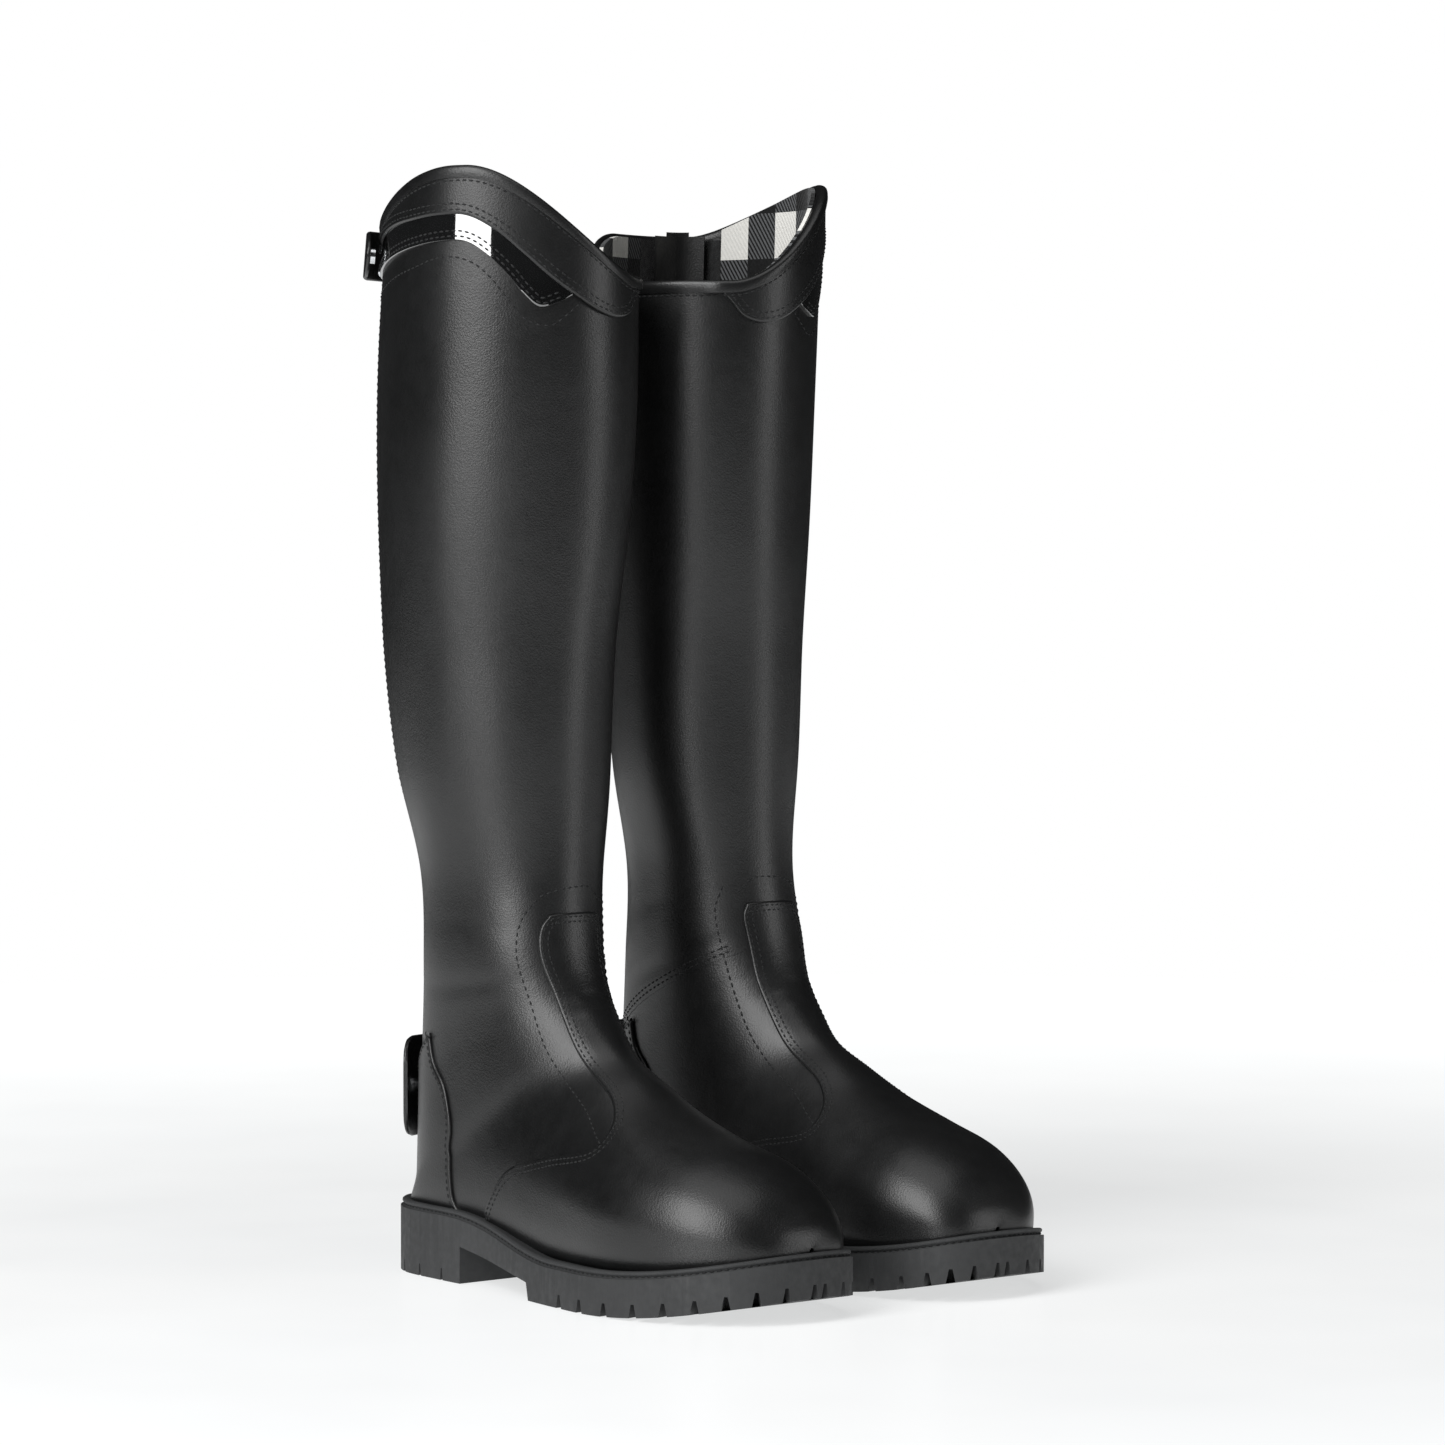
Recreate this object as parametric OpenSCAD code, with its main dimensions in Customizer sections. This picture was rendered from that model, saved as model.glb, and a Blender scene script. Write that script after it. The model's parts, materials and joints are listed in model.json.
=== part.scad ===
// A pair of tall winter riding boots with a back zip, two press-stud tabs,
// a patent band under the top cuff, a warm lining and a lugged rubber sole.
//
// One boot is drawn in its own directions: u runs forward to the toe, v to the
// outer side and z up, with the leg's axis at u = 0, v = 0 and the floor at
// z = 0. The finished pair stands with its toes to -Y and the right boot at -X.

/* [Stance] */
// Distance between the centre lines of the two boots
boot_spacing = 121; // [120:1:220]

/* [Shaft] */
// Height of the top line at its outer peak
peak_h = 510; // [430:1:612]
// Drop of the top line from the peak to the front
front_drop = 49; // [30:1:60]
// Drop of the top line from the peak to the zip
back_drop = 22; // [10:1:40]
// Height at which the calf stands furthest back
calf_h = 372; // [340:1:420]
// Depth of the calf behind the leg's axis
calf_back = 67; // [60:1:84]
// Depth of the shaft in front of the leg's axis
calf_front = 62; // [54:1:76]
// Half the width of the calf
calf_side = 54; // [46:1:58]
// Radius of the calf's back line, which the zip follows
back_r = 1100; // [850:10:1800]
// Turn of the zip towards the outer side, in degrees
shaft_turn = 25; // [0:1:30]
// How far the section narrows to a point at the zip
pointed = 0.35; // [0:0.05:0.5]

/* [Ankle] */
// Height of the narrowest part of the leg
ankle_h = 190; // [180:1:200]
// Depth of the ankle behind the leg's axis
ankle_back = 48; // [42:1:54]
// Depth of the ankle in front of the leg's axis
ankle_front = 47.5; // [40:0.5:54]
// Half the width of the ankle
ankle_side = 37; // [32:1:42]

/* [Sole] */
// Reach of the sole from the leg's axis to the toe
toe_reach = 215; // [180:1:258]
// Reach of the sole from the leg's axis to the back of the heel
heel_reach = 56; // [54:1:62]
// Reach of the sole's ball to the outer side
ball_outer = 57; // [54:1:66]
// Reach of the sole's ball to the inner side
ball_inner = 49; // [46:1:57]
// Half the width of the heel
heel_half = 39; // [37:1:45]
// Length of the heel block
heel_l = 73; // [60:1:84]
// Thickness of the sole under the heel
heel_t = 30; // [25:1:36]
// Thickness of the sole under the ball
fore_t = 17; // [14:1:20]
// Rise of the sole's underside at the toe
toe_spring = 11; // [6:1:14]
// Depth of the lugs around the edge of the tread
lug_h = 4.5; // [3:0.5:6]
// Width of a gap between two lugs
lug_gap = 3; // [2:0.5:4]
// Step from the sole's edge in to the welt
welt_inset = 0.6; // [0.4:0.1:1]
// Height of the welt
welt_h = 3.4; // [2.5:0.1:4.5]

/* [Materials] */
// Thickness of the main leather
leather_t = 1.8; // [1.2:0.1:2.2]
// Thickness of the leather laid over the main leather
overlay_t = 1.6; // [1.2:0.1:2]
// Thickness of the patent leather
patent_t = 1.4; // [1:0.1:1.8]
// Thickness of the lining with its pile
lining_t = 2.2; // [1.5:0.1:3]
// Thickness of the toe and heel stiffeners
stiffener_t = 1.4; // [1:0.1:1.6]
// Room for thread and adhesive between two layers
layer_gap = 0.6; // [0.5:0.1:1]

/* [Zip] */
// Width of the open slot in the leather
slot_w = 12; // [11.5:0.5:16]
// Width of the two rows of teeth together
teeth_w = 6; // [5:0.5:6.5]
// Gap between the two rows, which the slider's neck runs in
teeth_gap = 1.4; // [1.4:0.1:2]
// Width of one tape from the gap outwards
tape_w = 12; // [10:0.5:13]
// Length of the slider
slider_l = 12; // [10:0.5:14]
// Length of the pull
pull_l = 13; // [12:0.5:20]
// How far the closed slider rests below the top line at the back
slider_drop = 10; // [8:0.5:40]

/* [Tabs] */
// Height of the top tab along the zip
tab_h = 23; // [20:1:30]
// How far the middle of the top tab lies below the top line at the back
tab_drop = 13.5; // [12.5:0.5:40]
// Clear space between the zip's face and the top tab
tab_stand_off = 8.5; // [8:0.5:12]
// Thickness of the tabs
tab_t = 2; // [1.5:0.1:2.6]
// Height of the heel tab
heel_tab_h = 48; // [34:1:50]
// Height of the middle of the heel tab
heel_tab_z = 84; // [80:1:88]
// Radius of a press stud's cap
stud_cap_r = 7; // [6:0.5:8]

/* [Hidden] */
SIDES = ["right", "left"];
PARTS = [
  "outsole", "welt", "shank", "insole_board", "footbed", "shaft_leather", "inner_quarter",
  "vamp", "heel_counter", "top_cuff", "patent_band", "rim_binding", "plaid_lining",
  "fleece_lining", "toe_puff", "heel_stiffener", "zip_tapes", "zip_teeth", "zip_stops",
  "zip_slider", "zip_pull", "zip_guard", "top_tab_root", "top_tab", "top_tab_socket",
  "heel_tab_root", "heel_tab", "heel_tab_cap", "press_studs"
];

leather_black = [0.10, 0.10, 0.11];
patent_black = [0.03, 0.03, 0.04];
rubber_grey = [0.25, 0.26, 0.26];
metal_grey = [0.70, 0.70, 0.72];

// ---- the shape of the leg and the foot -----------------------------------

calf_top_z = peak_h + 12;
calf_low_z = 235;
calf_steps = 5;
calf_step = (calf_top_z - calf_low_z) / calf_steps;
turn_axis_u = -2;

// Distance of the calf's back line behind the leg's axis, a true arc
function calf_back_at(z) = calf_back - back_r + sqrt(back_r * back_r - (z - calf_h) * (z - calf_h));
function foot_u(share) = toe_reach * share;

// Each row is one cross-section of the leg or foot, from the top to the toe:
// front u and z, back u and z, outer and inner half width, level of the
// widest line, roundness of the front and of the back, shift, turn and point.
function calf_row(k, front, side, round) =
  let (z = calf_top_z - k * calf_step)
  [calf_front * front, z, -calf_back_at(z), z, calf_side * side, calf_side * side, 0.5,
   round, 2, 0, k < calf_steps ? shaft_turn : shaft_turn * 0.8, pointed];

ROWS = [
  calf_row(0, 1, 1, 2),
  calf_row(1, 1, 1, 2),
  calf_row(2, 0.99, 0.965, 2),
  calf_row(3, 0.93, 0.93, 2),
  calf_row(4, 0.83, 0.87, 2.05),
  calf_row(5, 0.785, 0.81, 2.1),
  [ankle_front, ankle_h, -ankle_back, ankle_h - 5, ankle_side, ankle_side, 0.50, 2.2, 2, 0,
   shaft_turn / 3, pointed * 0.6],
  [ankle_front + 4, 158, 1 - ankle_back, 140, ankle_side - 1, ankle_side - 1, 0.50, 2.2, 2, 0, 0,
   pointed * 0.2],
  [ankle_front + 12, 136, 8 - heel_reach, 92, heel_half - 5, heel_half - 5, 0.48, 2.2, 2.2, 0, 0, 0],
  [foot_u(0.33), 120, 8 - heel_reach, 38, heel_half - 4, heel_half - 5, 0.42, 2.2, 2.25, 0, 0, 0],
  [foot_u(0.39), 107, 7 - heel_reach, 16, heel_half - 4, heel_half - 5, 0.44, 2.1, 2.5, 0, 0, 0],
  [foot_u(0.47), 97, foot_u(0.12), 12, heel_half, heel_half - 4, 0.44, 2.1, 3, 0, 0, 0],
  [foot_u(0.56), 86, foot_u(0.38), 9, ball_outer - 11, ball_inner - 10, 0.45, 2.1, 3.4, 0, 0, 0],
  [foot_u(0.68), 76, foot_u(0.60), 8, ball_outer - 6, ball_inner - 8, 0.45, 2.1, 3.2, -0.5, 0, 0],
  [foot_u(0.80), 68, foot_u(0.77), 9, ball_outer - 11, ball_inner - 8, 0.46, 2.2, 3, -1.5, 0, 0],
  [foot_u(0.90), 56, foot_u(0.89), 13, ball_outer - 22, ball_inner - 17, 0.48, 2.2, 2.8, -3, 0, 0],
  [foot_u(0.955), 42, foot_u(0.955), 19, ball_outer - 36, ball_inner - 29, 0.50, 2.2, 2.4, -4.5, 0, 0],
  [foot_u(0.972), 32, foot_u(0.972), 30, 1, 1, 0.50, 2.2, 2.2, -5, 0, 0]
];

// One smooth step between four neighbours in a list, f from 0 to 1
function glide(a, b, c, d, f) =
  0.5 * (2 * b + (c - a) * f + (2 * a - 5 * b + 4 * c - d) * f * f
         + (3 * b - a - 3 * c + d) * f * f * f);
function along(list, t) =
  let (last = len(list) - 1, i = min(max(floor(t), 0), last - 1),
       b = list[i], c = list[i + 1],
       a = i > 0 ? list[i - 1] : 2 * b - c,
       d = i + 2 <= last ? list[i + 2] : 2 * c - b)
  glide(a, b, c, d, t - i);
function resample(list, count) = [for (k = [0:count]) along(list, k * (len(list) - 1) / count)];

function row_at(t) =
  let (row = along(ROWS, t))
  t > calf_steps ? row
  : [for (k = [0:11]) k == 2 ? -calf_back_at(calf_top_z - t * calf_step)
     : k == 10 && t < calf_steps - 1 ? shaft_turn : row[k]];

// A point of the outer surface: station t, and the angle from the front (0)
// through the outer side (90) to the back (180) or the inner side (-90)
function form(t, angle) =
  let (row = row_at(t), front = [row[0], row[1]], back = [row[2], row[3]],
       middle = back + (front - back) * row[6],
       ahead = cos(angle) >= 0, power = 2 / (ahead ? row[7] : row[8]),
       reach = pow(abs(cos(angle)), power), narrow = ahead ? 1 : 1 - row[11] * reach * reach,
       side = sign(sin(angle)) * pow(abs(sin(angle)), power) * narrow,
       spot = middle + ((ahead ? front : back) - middle) * reach,
       v = (side >= 0 ? row[4] : row[5]) * side + row[9],
       from_axis = spot[0] - turn_axis_u, turn = row[10])
  [turn_axis_u + from_axis * cos(turn) + v * sin(turn), -from_axis * sin(turn) + v * cos(turn),
   spot[1]];

function unit(a) = a / norm(a);
function outward(t, angle) =
  unit(cross(form(t + 0.02, angle) - form(t - 0.02, angle),
             form(t, angle + 1) - form(t, angle - 1)));
function layer(place, offset) = form(place[0], place[1]) + offset * outward(place[0], place[1]);

// Top of the sole, which the upper stands on
function spring_at(u) = let (f = max(0, (u - foot_u(0.6)) / (foot_u(1) - foot_u(0.6)))) toe_spring * f * f;
function ease(f) = let (g = min(max(f, 0), 1)) g * g * (3 - 2 * g);
function sole_top(u) = fore_t + (heel_t - fore_t) * ease((foot_u(0.46) - u) / (foot_u(0.46) - 5)) + spring_at(u);

// Angle at which a station's surface comes down to a height above the sole
function feather(t, lift = 0.6) =
  let (row = row_at(t), middle_z = row[3] + (row[1] - row[3]) * row[6],
       middle_u = row[2] + (row[0] - row[2]) * row[6],
       low_u = middle_u + (row[2] - middle_u) * 0.65,
       share = (middle_z - sole_top(low_u) - lift) / (middle_z - row[3]))
  180 - acos(pow(min(max(share, 0.05), 1), row[8] / 2));

// Station at which the heel's surface comes down to the sole, at an angle
// near the back; the surface falls steadily between the two stations
function heel_station(angle, lift = 0.6, low = 8.8, high = 10.7, tries = 12) =
  let (t = (low + high) / 2, spot = form(t, angle))
  tries == 0 ? t
  : spot[2] > sole_top(spot[0]) + lift ? heel_station(angle, lift, t, high, tries - 1)
  : heel_station(angle, lift, low, t, tries - 1);

// ---- building layers ------------------------------------------------------

// A closed skin over a grid of [station, angle] places, between two offsets
module skin(grid, inner, outer) {
  rows = len(grid);
  cols = len(grid[0]);
  mid = grid[floor(rows / 2)];
  down = grid[floor(rows / 2) + (rows > 2 ? 1 : -1)][floor(cols / 2)] - mid[floor(cols / 2)];
  across = mid[floor(cols / 2) + 1] - mid[floor(cols / 2)];
  forward = (rows > 2 ? 1 : -1) * (down[0] * across[1] - down[1] * across[0]) > 0;
  function id(side, i, j) = (side * rows + i) * cols + j;
  function quad(a, b, c, d) = forward ? [[a, b, c], [a, c, d]] : [[c, b, a], [d, c, a]];
  faces = [
    for (i = [0:rows - 2]) for (j = [0:cols - 2]) each concat(
      quad(id(0, i, j), id(0, i, j + 1), id(0, i + 1, j + 1), id(0, i + 1, j)),
      quad(id(1, i, j), id(1, i + 1, j), id(1, i + 1, j + 1), id(1, i, j + 1))),
    for (j = [0:cols - 2]) each concat(
      quad(id(0, 0, j + 1), id(0, 0, j), id(1, 0, j), id(1, 0, j + 1)),
      quad(id(0, rows - 1, j), id(0, rows - 1, j + 1), id(1, rows - 1, j + 1), id(1, rows - 1, j))),
    for (i = [0:rows - 2]) each concat(
      quad(id(0, i, 0), id(0, i + 1, 0), id(1, i + 1, 0), id(1, i, 0)),
      quad(id(0, i + 1, cols - 1), id(0, i, cols - 1), id(1, i, cols - 1), id(1, i + 1, cols - 1)))
  ];
  points = [for (offset = [outer, inner]) for (line = grid) for (place = line) layer(place, offset)];
  polyhedron(points, faces);
}

// Grid between an upper and a lower edge, both lists of [station, angle];
// rows lie closer together towards the lower edge as crowd grows
function between(upper, lower, steps, columns, crowd = 0) =
  let (a = resample(upper, columns), b = resample(lower, columns))
  [for (i = [0:steps])
    let (f = i / steps, g = f + crowd * f * (1 - f))
    [for (j = [0:columns]) a[j] + (b[j] - a[j]) * g]];

// Offsets of the layers from the outer face of the main leather
lining_out = -leather_t - layer_gap;
lining_in = lining_out - lining_t;
overlay_in = layer_gap;
overlay_out = overlay_in + overlay_t;
patent_out = layer_gap + patent_t;
cuff_in = patent_out + layer_gap;
cuff_out = cuff_in + patent_t;
stiffener_out = -leather_t - layer_gap - 0.2;
foot_lining_out = stiffener_out - stiffener_t - layer_gap;
foot_lining_in = foot_lining_out - lining_t;

// ---- the top line and the edges that follow it ----------------------------

function calf_t(z) = (calf_top_z - z) / calf_step;
slot_half = slot_w / 2;
// Angle of the line that runs beside the zip at a distance from its middle
function zip_angle(t, across) =
  let (row = row_at(t), share = abs(across) / (row[4] * (1 - row[11])))
  across == 0 ? 180 : 180 - sign(across) * asin(pow(share, row[8] / 2));

// Height of the top line at an angle from the front
front_line_z = peak_h - front_drop;
back_line_z = peak_h - back_drop;
slider_h = back_line_z - slider_drop;
tab_z = back_line_z - tab_drop;
function top_line(angle) =
  angle > 90 ? peak_h - back_drop * ease((angle - 90) / 80)
  : angle > -5 ? front_line_z + front_drop * ease((angle + 5) / 91)
  : front_line_z + (back_line_z - front_line_z) * ease((-angle - 55) / 75);

// Lower edge of the cuff and of the patent band, as [angle, drop from the peak]
slot_top = zip_angle(0.6, slot_half);
CUFF_EDGE = [[slot_top, 31], [156, 28], [141, 25.5], [127, 23], [113, 21.5], [98, 20], [84, 20.5],
             [71, 27.5], [59, 38], [48, 48], [37, 56], [24, 63.5], [12, 66], [2, 63.5], [-5, 56],
             [-9, front_drop + 3]];
BAND_EDGE = [[slot_top, 46], [156, 43], [141, 39.5], [127, 36.5], [113, 34], [98, 32], [85, 32],
             [75, 38], [66, 47], [59, 56], [52, 62], [44, 60], [37, 56.5]];
BAND_TUCK = [[slot_top, 31], [156, 28], [141, 25.5], [127, 23], [113, 21.5], [98, 20], [85, 20.5],
             [75, 25], [66, 31.5], [59, 38], [52, 44.5], [44, 51], [37, 55]];
function edge(list, lift = 0) = [for (p = list) [calf_t(peak_h - p[1] + lift), p[0]]];
function under_top_line(list, drop) = [for (p = list) [calf_t(top_line(p[0]) - drop), p[0]]];

// Seam of the main leather: up from the heel, along the vamp and across the
// inner side, paired with the angles at which its columns meet the top line
MAIN_LOWER = [
  for (a = [176:-10:126]) [heel_station(a, 1.5), a],
  [10.3, feather(10.3, 1.2)], [10.7, feather(10.7, 1.2)], [11.05, 103], [11.05, 90], [11.25, 78],
  [11.95, 66], [12.25, 50], [11.9, 36], [11.3, 27], [10.6, 22], [9.9, 20.5], [9.2, 19.7],
  [8.6, 19.5], [7.9, 20.5], [7.2, 22], [6.95, 12],
  [6.95, 2], [6.95, -8], [7.2, -18], [7.35, -30], for (k = [1:9]) inner_seam(k)
];
MAIN_ANGLES = [slot_top, 163, 155, 147, 139, 131, 123, 115, 106, 97, 88, 79, 70, 62, 54, 47, 40, 33,
               26, 19, 12, 4, -5, -15, -27, -42, for (k = [1:9]) -42 - (slot_top - 42) * k / 9];
main_columns = len(MAIN_ANGLES) - 1;
main_rows = 22;

// Edge of the slot, which closes below the end of the zip
function slot_line(t) = zip_angle(t, 0.4 + (slot_half - 0.4) * (1 - ease((t - zip_end_t) / 0.7)));
// Moves the first columns (outer side) and the last (inner side) to the slot
function along_slot(grid, first, last) =
  [for (line = grid) let (n = len(line) - 1,
      a = first ? slot_line(line[0][0]) - line[0][1] : 0,
      b = last ? -slot_line(line[n][0]) - line[n][1] : 0)
    [for (j = [0:n])
      line[j] + [0, a * pow(1 - j / n, 8) + b * pow(j / n, 8)]]];

// The slanting seam on the inner side, from the tongue to the zip
function inner_seam(k) =
  let (t = 7.35 + 0.07 * k) [t, -30 + (30 - zip_angle(t, slot_half)) * k / 9];

module shaft_leather() {
  upper = [for (a = MAIN_ANGLES) [calf_t(top_line(a)), a]];
  grid = between(upper, MAIN_LOWER, main_rows, main_columns, 0.45);
  color(leather_black) skin(along_slot(grid, true, true), -leather_t, 0);
}

// The separate leather below the slanting seam on the inner side
module inner_quarter() {
  upper = [for (k = [0:9]) inner_seam(k) + [0.1, 0]];
  lower = [[12.25, -50], [11.95, -66], [11.1, -80], [11.05, -95], [10.7, -feather(10.7, 1.2)],
           [10.3, -feather(10.3, 1.2)], for (a = [128:12:176]) [heel_station(-a, 1.2), -a]];
  front = [[7.45, -30], [8.6, -19.5], [10.6, -22], [12, -36], [12.25, -50]];
  // the front edge bows around the vamp's tongue
  bow = resample(front, 10);
  grid = [for (i = [0:10])
    let (low = resample(lower, 16), high = resample(upper, 16))
    [for (j = [0:16])
      let (straight = high[j] + (low[j] - high[j]) * i / 10,
           start = high[0] + (low[0] - high[0]) * i / 10,
           fade = pow(1 - j / 16, 2))
      straight + (bow[i] - start) * fade]];
  color(leather_black) skin(along_slot(grid, false, true), -leather_t, 0);
}

// The vamp: rows from the tongue's top to the toe, each with the place of its
// edge and the station at which it crosses the middle
VAMP_EDGE = [
  [6.57, 20], [6.85, 26], [7.7, 25.5], [8.6, 24], [9.5, 24], [10.4, 24.6], [11.3, 28], [11.85, 38],
  [11.95, 55], [11.2, 72], [10.75, 84], [10.73, 96],
  for (t = [10.9, 11.6, 12.5, 13.4, 14.3, 15.2, 16]) [t, feather(t, 2.2)], [16.6, 116], [17, 118]
];
VAMP_MIDDLE = [6.55, 6.85, 7.7, 8.6, 9.5, 10.4, 11.3, 11.95, 12.4, 12.8, 13.1, 13.4, 13.7, 14.1,
               14.6, 15, 15.4, 15.9, 16.3, 16.65, 17];
vamp_half_columns = 8;
// The tongue leans a little to the outer side, as the shaft turns
function tongue_lean(t) = 2 * ease((8.2 - t) / 1.4);

vamp_rows = 32;
module vamp() {
  edges = resample(VAMP_EDGE, vamp_rows);
  middles = resample(VAMP_MIDDLE, vamp_rows);
  grid = [for (k = [0:vamp_rows]) [for (j = [-vamp_half_columns:vamp_half_columns])
    let (share = j / vamp_half_columns,
         t = middles[k] + (edges[k][0] - middles[k]) * pow(abs(share), 3))
    [t, edges[k][1] * share + tongue_lean(t)]]];
  color(leather_black) skin(grid, overlay_in, overlay_out);
}

// The heel counter wraps the back of the foot, notched for the end of the zip
module heel_counter() {
  upper = [[7.8, 113], [7.95, 135], [8.15, 155], [8.6, 170], [8.7, 180], [8.6, 190], [8.15, 205],
           [7.95, 225], [7.8, 247]];
  lift = welt_h + 0.3;
  lower = [[10.5, feather(10.5, lift)],
           for (a = [120, 135, 150, 180, 210, 225, 240]) [heel_station(a, lift), a],
           [10.5, 360 - feather(10.5, lift)]];
  grid = between(upper, lower, 7, 16);
  bowed = [for (i = [0:7]) [for (j = [0:16])
    let (side = 1 - 2 * j / 16, bow = sin(180 * i / 7) * pow(abs(side), 1.6) * -22)
    grid[i][j] + [0, bow * sign(side)]]];
  color(leather_black) skin(bowed, overlay_in, overlay_out);
}

module top_cuff() {
  upper = under_top_line(CUFF_EDGE, 0.8);
  color(leather_black) skin(between(upper, edge(CUFF_EDGE), 2, 20), cuff_in, cuff_out);
}

module patent_band() {
  color(patent_black)
    skin(between(edge(BAND_TUCK, 8), edge(BAND_EDGE), 2, 16), layer_gap, patent_out);
}

// The rolled edge that closes leather, cuff and lining along the top line
module rim_binding() {
  angles = [for (k = [0:30]) slot_top - 2 * slot_top * k / 30];
  grid = [for (lift = [2.6, 0.8]) [for (a = angles) [calf_t(top_line(a) + lift), a]]];
  color(leather_black) skin(grid, lining_in, cuff_out);
}

// ---- linings and stiffeners ----------------------------------------------

plaid_edge = 146;

module plaid_lining() {
  angles = [for (k = [0:24]) plaid_edge - 2 * plaid_edge * k / 24];
  upper = [for (a = angles) [calf_t(top_line(a)), a]];
  lower = [for (a = angles) [6.1, a]];
  color("silver") skin(between(upper, lower, 11, 24, 0.2), lining_in, lining_out);
}

// Black fleece beside the zip and inside the foot
module fleece_lining() {
  strip_edge = teeth_gap / 2 + tape_w + 1;
  strip_top = calf_t(back_line_z - 0.6);
  color("dimgray") {
    for (side = [1, -1]) {
      grid = [for (k = [0:8]) let (t = strip_top + (6.1 - strip_top) * k / 8)
        [for (f = [0, 0.5, 1])
          let (from = plaid_edge + 1, to = zip_angle(t, strip_edge)) [t, side * (from + (to - from) * f)]]];
      skin(grid, lining_in, lining_out);
    }
    foot_rows = [6.2, 6.8, 7.3, 7.9, 8.5, 9, 9.4, 9.9, 10.5, 11.2, 12, 13, 14, 15, 15.8];
    grid = [for (t = foot_rows)
      let (a = t < 9 ? zip_angle(t, strip_edge) : min(172, feather(t + 0.05, 9)))
      [for (k = [0:18]) [t, a - 2 * a * k / 18]]];
    skin(grid, foot_lining_in, foot_lining_out);
  }
}

module toe_puff() {
  grid = [for (t = [14.3, 15, 15.6, 16.2, 16.6]) let (a = feather(t, 4))
    [for (k = [0:10]) [t, a - 2 * a * k / 10]]];
  color("gray") skin(grid, -stiffener_t - 0.9, -0.9);
}

module heel_stiffener() {
  grid = [for (i = [0:4]) [for (k = [0:16])
    let (a = 118 + 124 * k / 16, low = heel_station(a, 3.4)) [8.75 + (low - 8.75) * i / 4, a]]];
  color("gray") skin(grid, stiffener_out - stiffener_t, stiffener_out);
}

// ---- the sole, all of flat-sided prisms ------------------------------------

// Outline of the sole seen from above, from the heel along the outer side
SOLE = [
  [-heel_reach, 0], [-heel_reach + 5, heel_half * 0.58], [-heel_reach + 24, heel_half * 0.93],
  [0, heel_half + 1.5], [foot_u(0.17), heel_half + 4], [foot_u(0.33), ball_outer - 8],
  [foot_u(0.47), ball_outer - 3], [foot_u(0.62), ball_outer], [foot_u(0.77), ball_outer - 5],
  [foot_u(0.895), ball_outer - 17], [foot_u(0.975), ball_outer - 36.5], [toe_reach, -6],
  [foot_u(0.975), 20.5 - ball_inner], [foot_u(0.895), 8 - ball_inner],
  [foot_u(0.76), 1 - ball_inner], [foot_u(0.62), -ball_inner], [foot_u(0.47), 3 - ball_inner],
  [foot_u(0.33), 7 - ball_inner], [foot_u(0.17), -heel_half], [0, -heel_half],
  [-heel_reach + 24, heel_half * -0.91], [-heel_reach + 5, heel_half * -0.56]
];
outline_steps = 3;
function sole_spot(k) =
  let (n = len(SOLE), i = floor(k), f = k - i)
  glide(SOLE[(i + n - 1) % n], SOLE[i % n], SOLE[(i + 1) % n], SOLE[(i + 2) % n], f);
function sole_normal(k) = let (d = sole_spot(k + 0.02) - sole_spot(k + len(SOLE) - 0.02)) unit([-d[1], d[0]]);
function sole_outline(inset = 0) =
  [for (k = [0:len(SOLE) * outline_steps - 1])
    sole_spot(k / outline_steps) - inset * sole_normal(k / outline_steps)];

breast_u = heel_l - heel_reach;
tread_u = foot_u(0.37);
arch_z = heel_t * 0.57;

// A prism of the sole's plan, cut to a side view between two height lines
module sole_prism(inset, low, high) {
  intersection() {
    linear_extrude(height = peak_h / 2) polygon(sole_outline(inset));
    rotate([90, 0, 0]) linear_extrude(height = 4 * ball_outer, center = true)
      polygon(concat(low, [for (k = [len(high) - 1:-1:0]) high[k]]));
  }
}
side_steps = 22;
function side_line(lift) =
  [for (k = [0:side_steps])
    let (u = -heel_reach - 1 + (toe_reach + heel_reach + 2) * k / side_steps)
    [u, sole_top(u) + lift]];

// Gaps between lugs, square to the edge of the sole
module lug_cut(k, width, height, depth) {
  spot = sole_spot(k);
  inward = -sole_normal(k);
  translate([spot[0], spot[1], spring_at(spot[0])])
    rotate([0, 0, atan2(inward[1], inward[0])])
      rotate([90, 0, 90])
        translate([0, 0, -1]) linear_extrude(height = depth + 1)
          polygon([[-width / 2, -1], [width / 2, -1], [width / 4, height], [-width / 4, height]]);
}

lug_places = [for (f = [0:0.52:4.7]) 6.2 + f];

module outsole() {
  floor_line = [
    [-heel_reach - 1, 0], [breast_u, 0], [breast_u, arch_z], [tread_u - 2, arch_z * 0.47],
    [tread_u, 0], for (k = [3:8]) let (u = foot_u(0.6 + 0.4 * (k - 3) / 5)) [u, spring_at(u)],
    [toe_reach + 1, spring_at(toe_reach + 1)]
  ];
  color(rubber_grey) difference() {
    sole_prism(0, floor_line, side_line(0));
    for (k = lug_places) {
      lug_cut(k, lug_gap, lug_h, 12);
      lug_cut(22 - k, lug_gap, lug_h, 12);
    }
    for (k = [1.95, 2.5, 3.05]) {
      lug_cut(k, lug_gap / 2, lug_h + 1, 5);
      lug_cut(22 - k, lug_gap / 2, lug_h + 1, 5);
    }
  }
}

// Outline of the upper in plan at a height above the sole, from the back
// around the outer side to the toe and home along the inner side
function footprint(lift, offset) =
  let (outer = concat([for (a = [180:-6:114]) [heel_station(a, lift), a]],
                      [for (t = [10.7:0.5:16]) [t, feather(t, lift)]],
                      [for (t = [16.3, 16.55, 16.75, 16.9, 17]) [t, 98]]),
       n = len(outer) - 1,
       places = concat(outer, [for (k = [n:-1:1]) [outer[k][0], -outer[k][1]]]))
  [for (place = places) let (spot = layer(place, offset)) [spot[0], spot[1]]];

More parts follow.
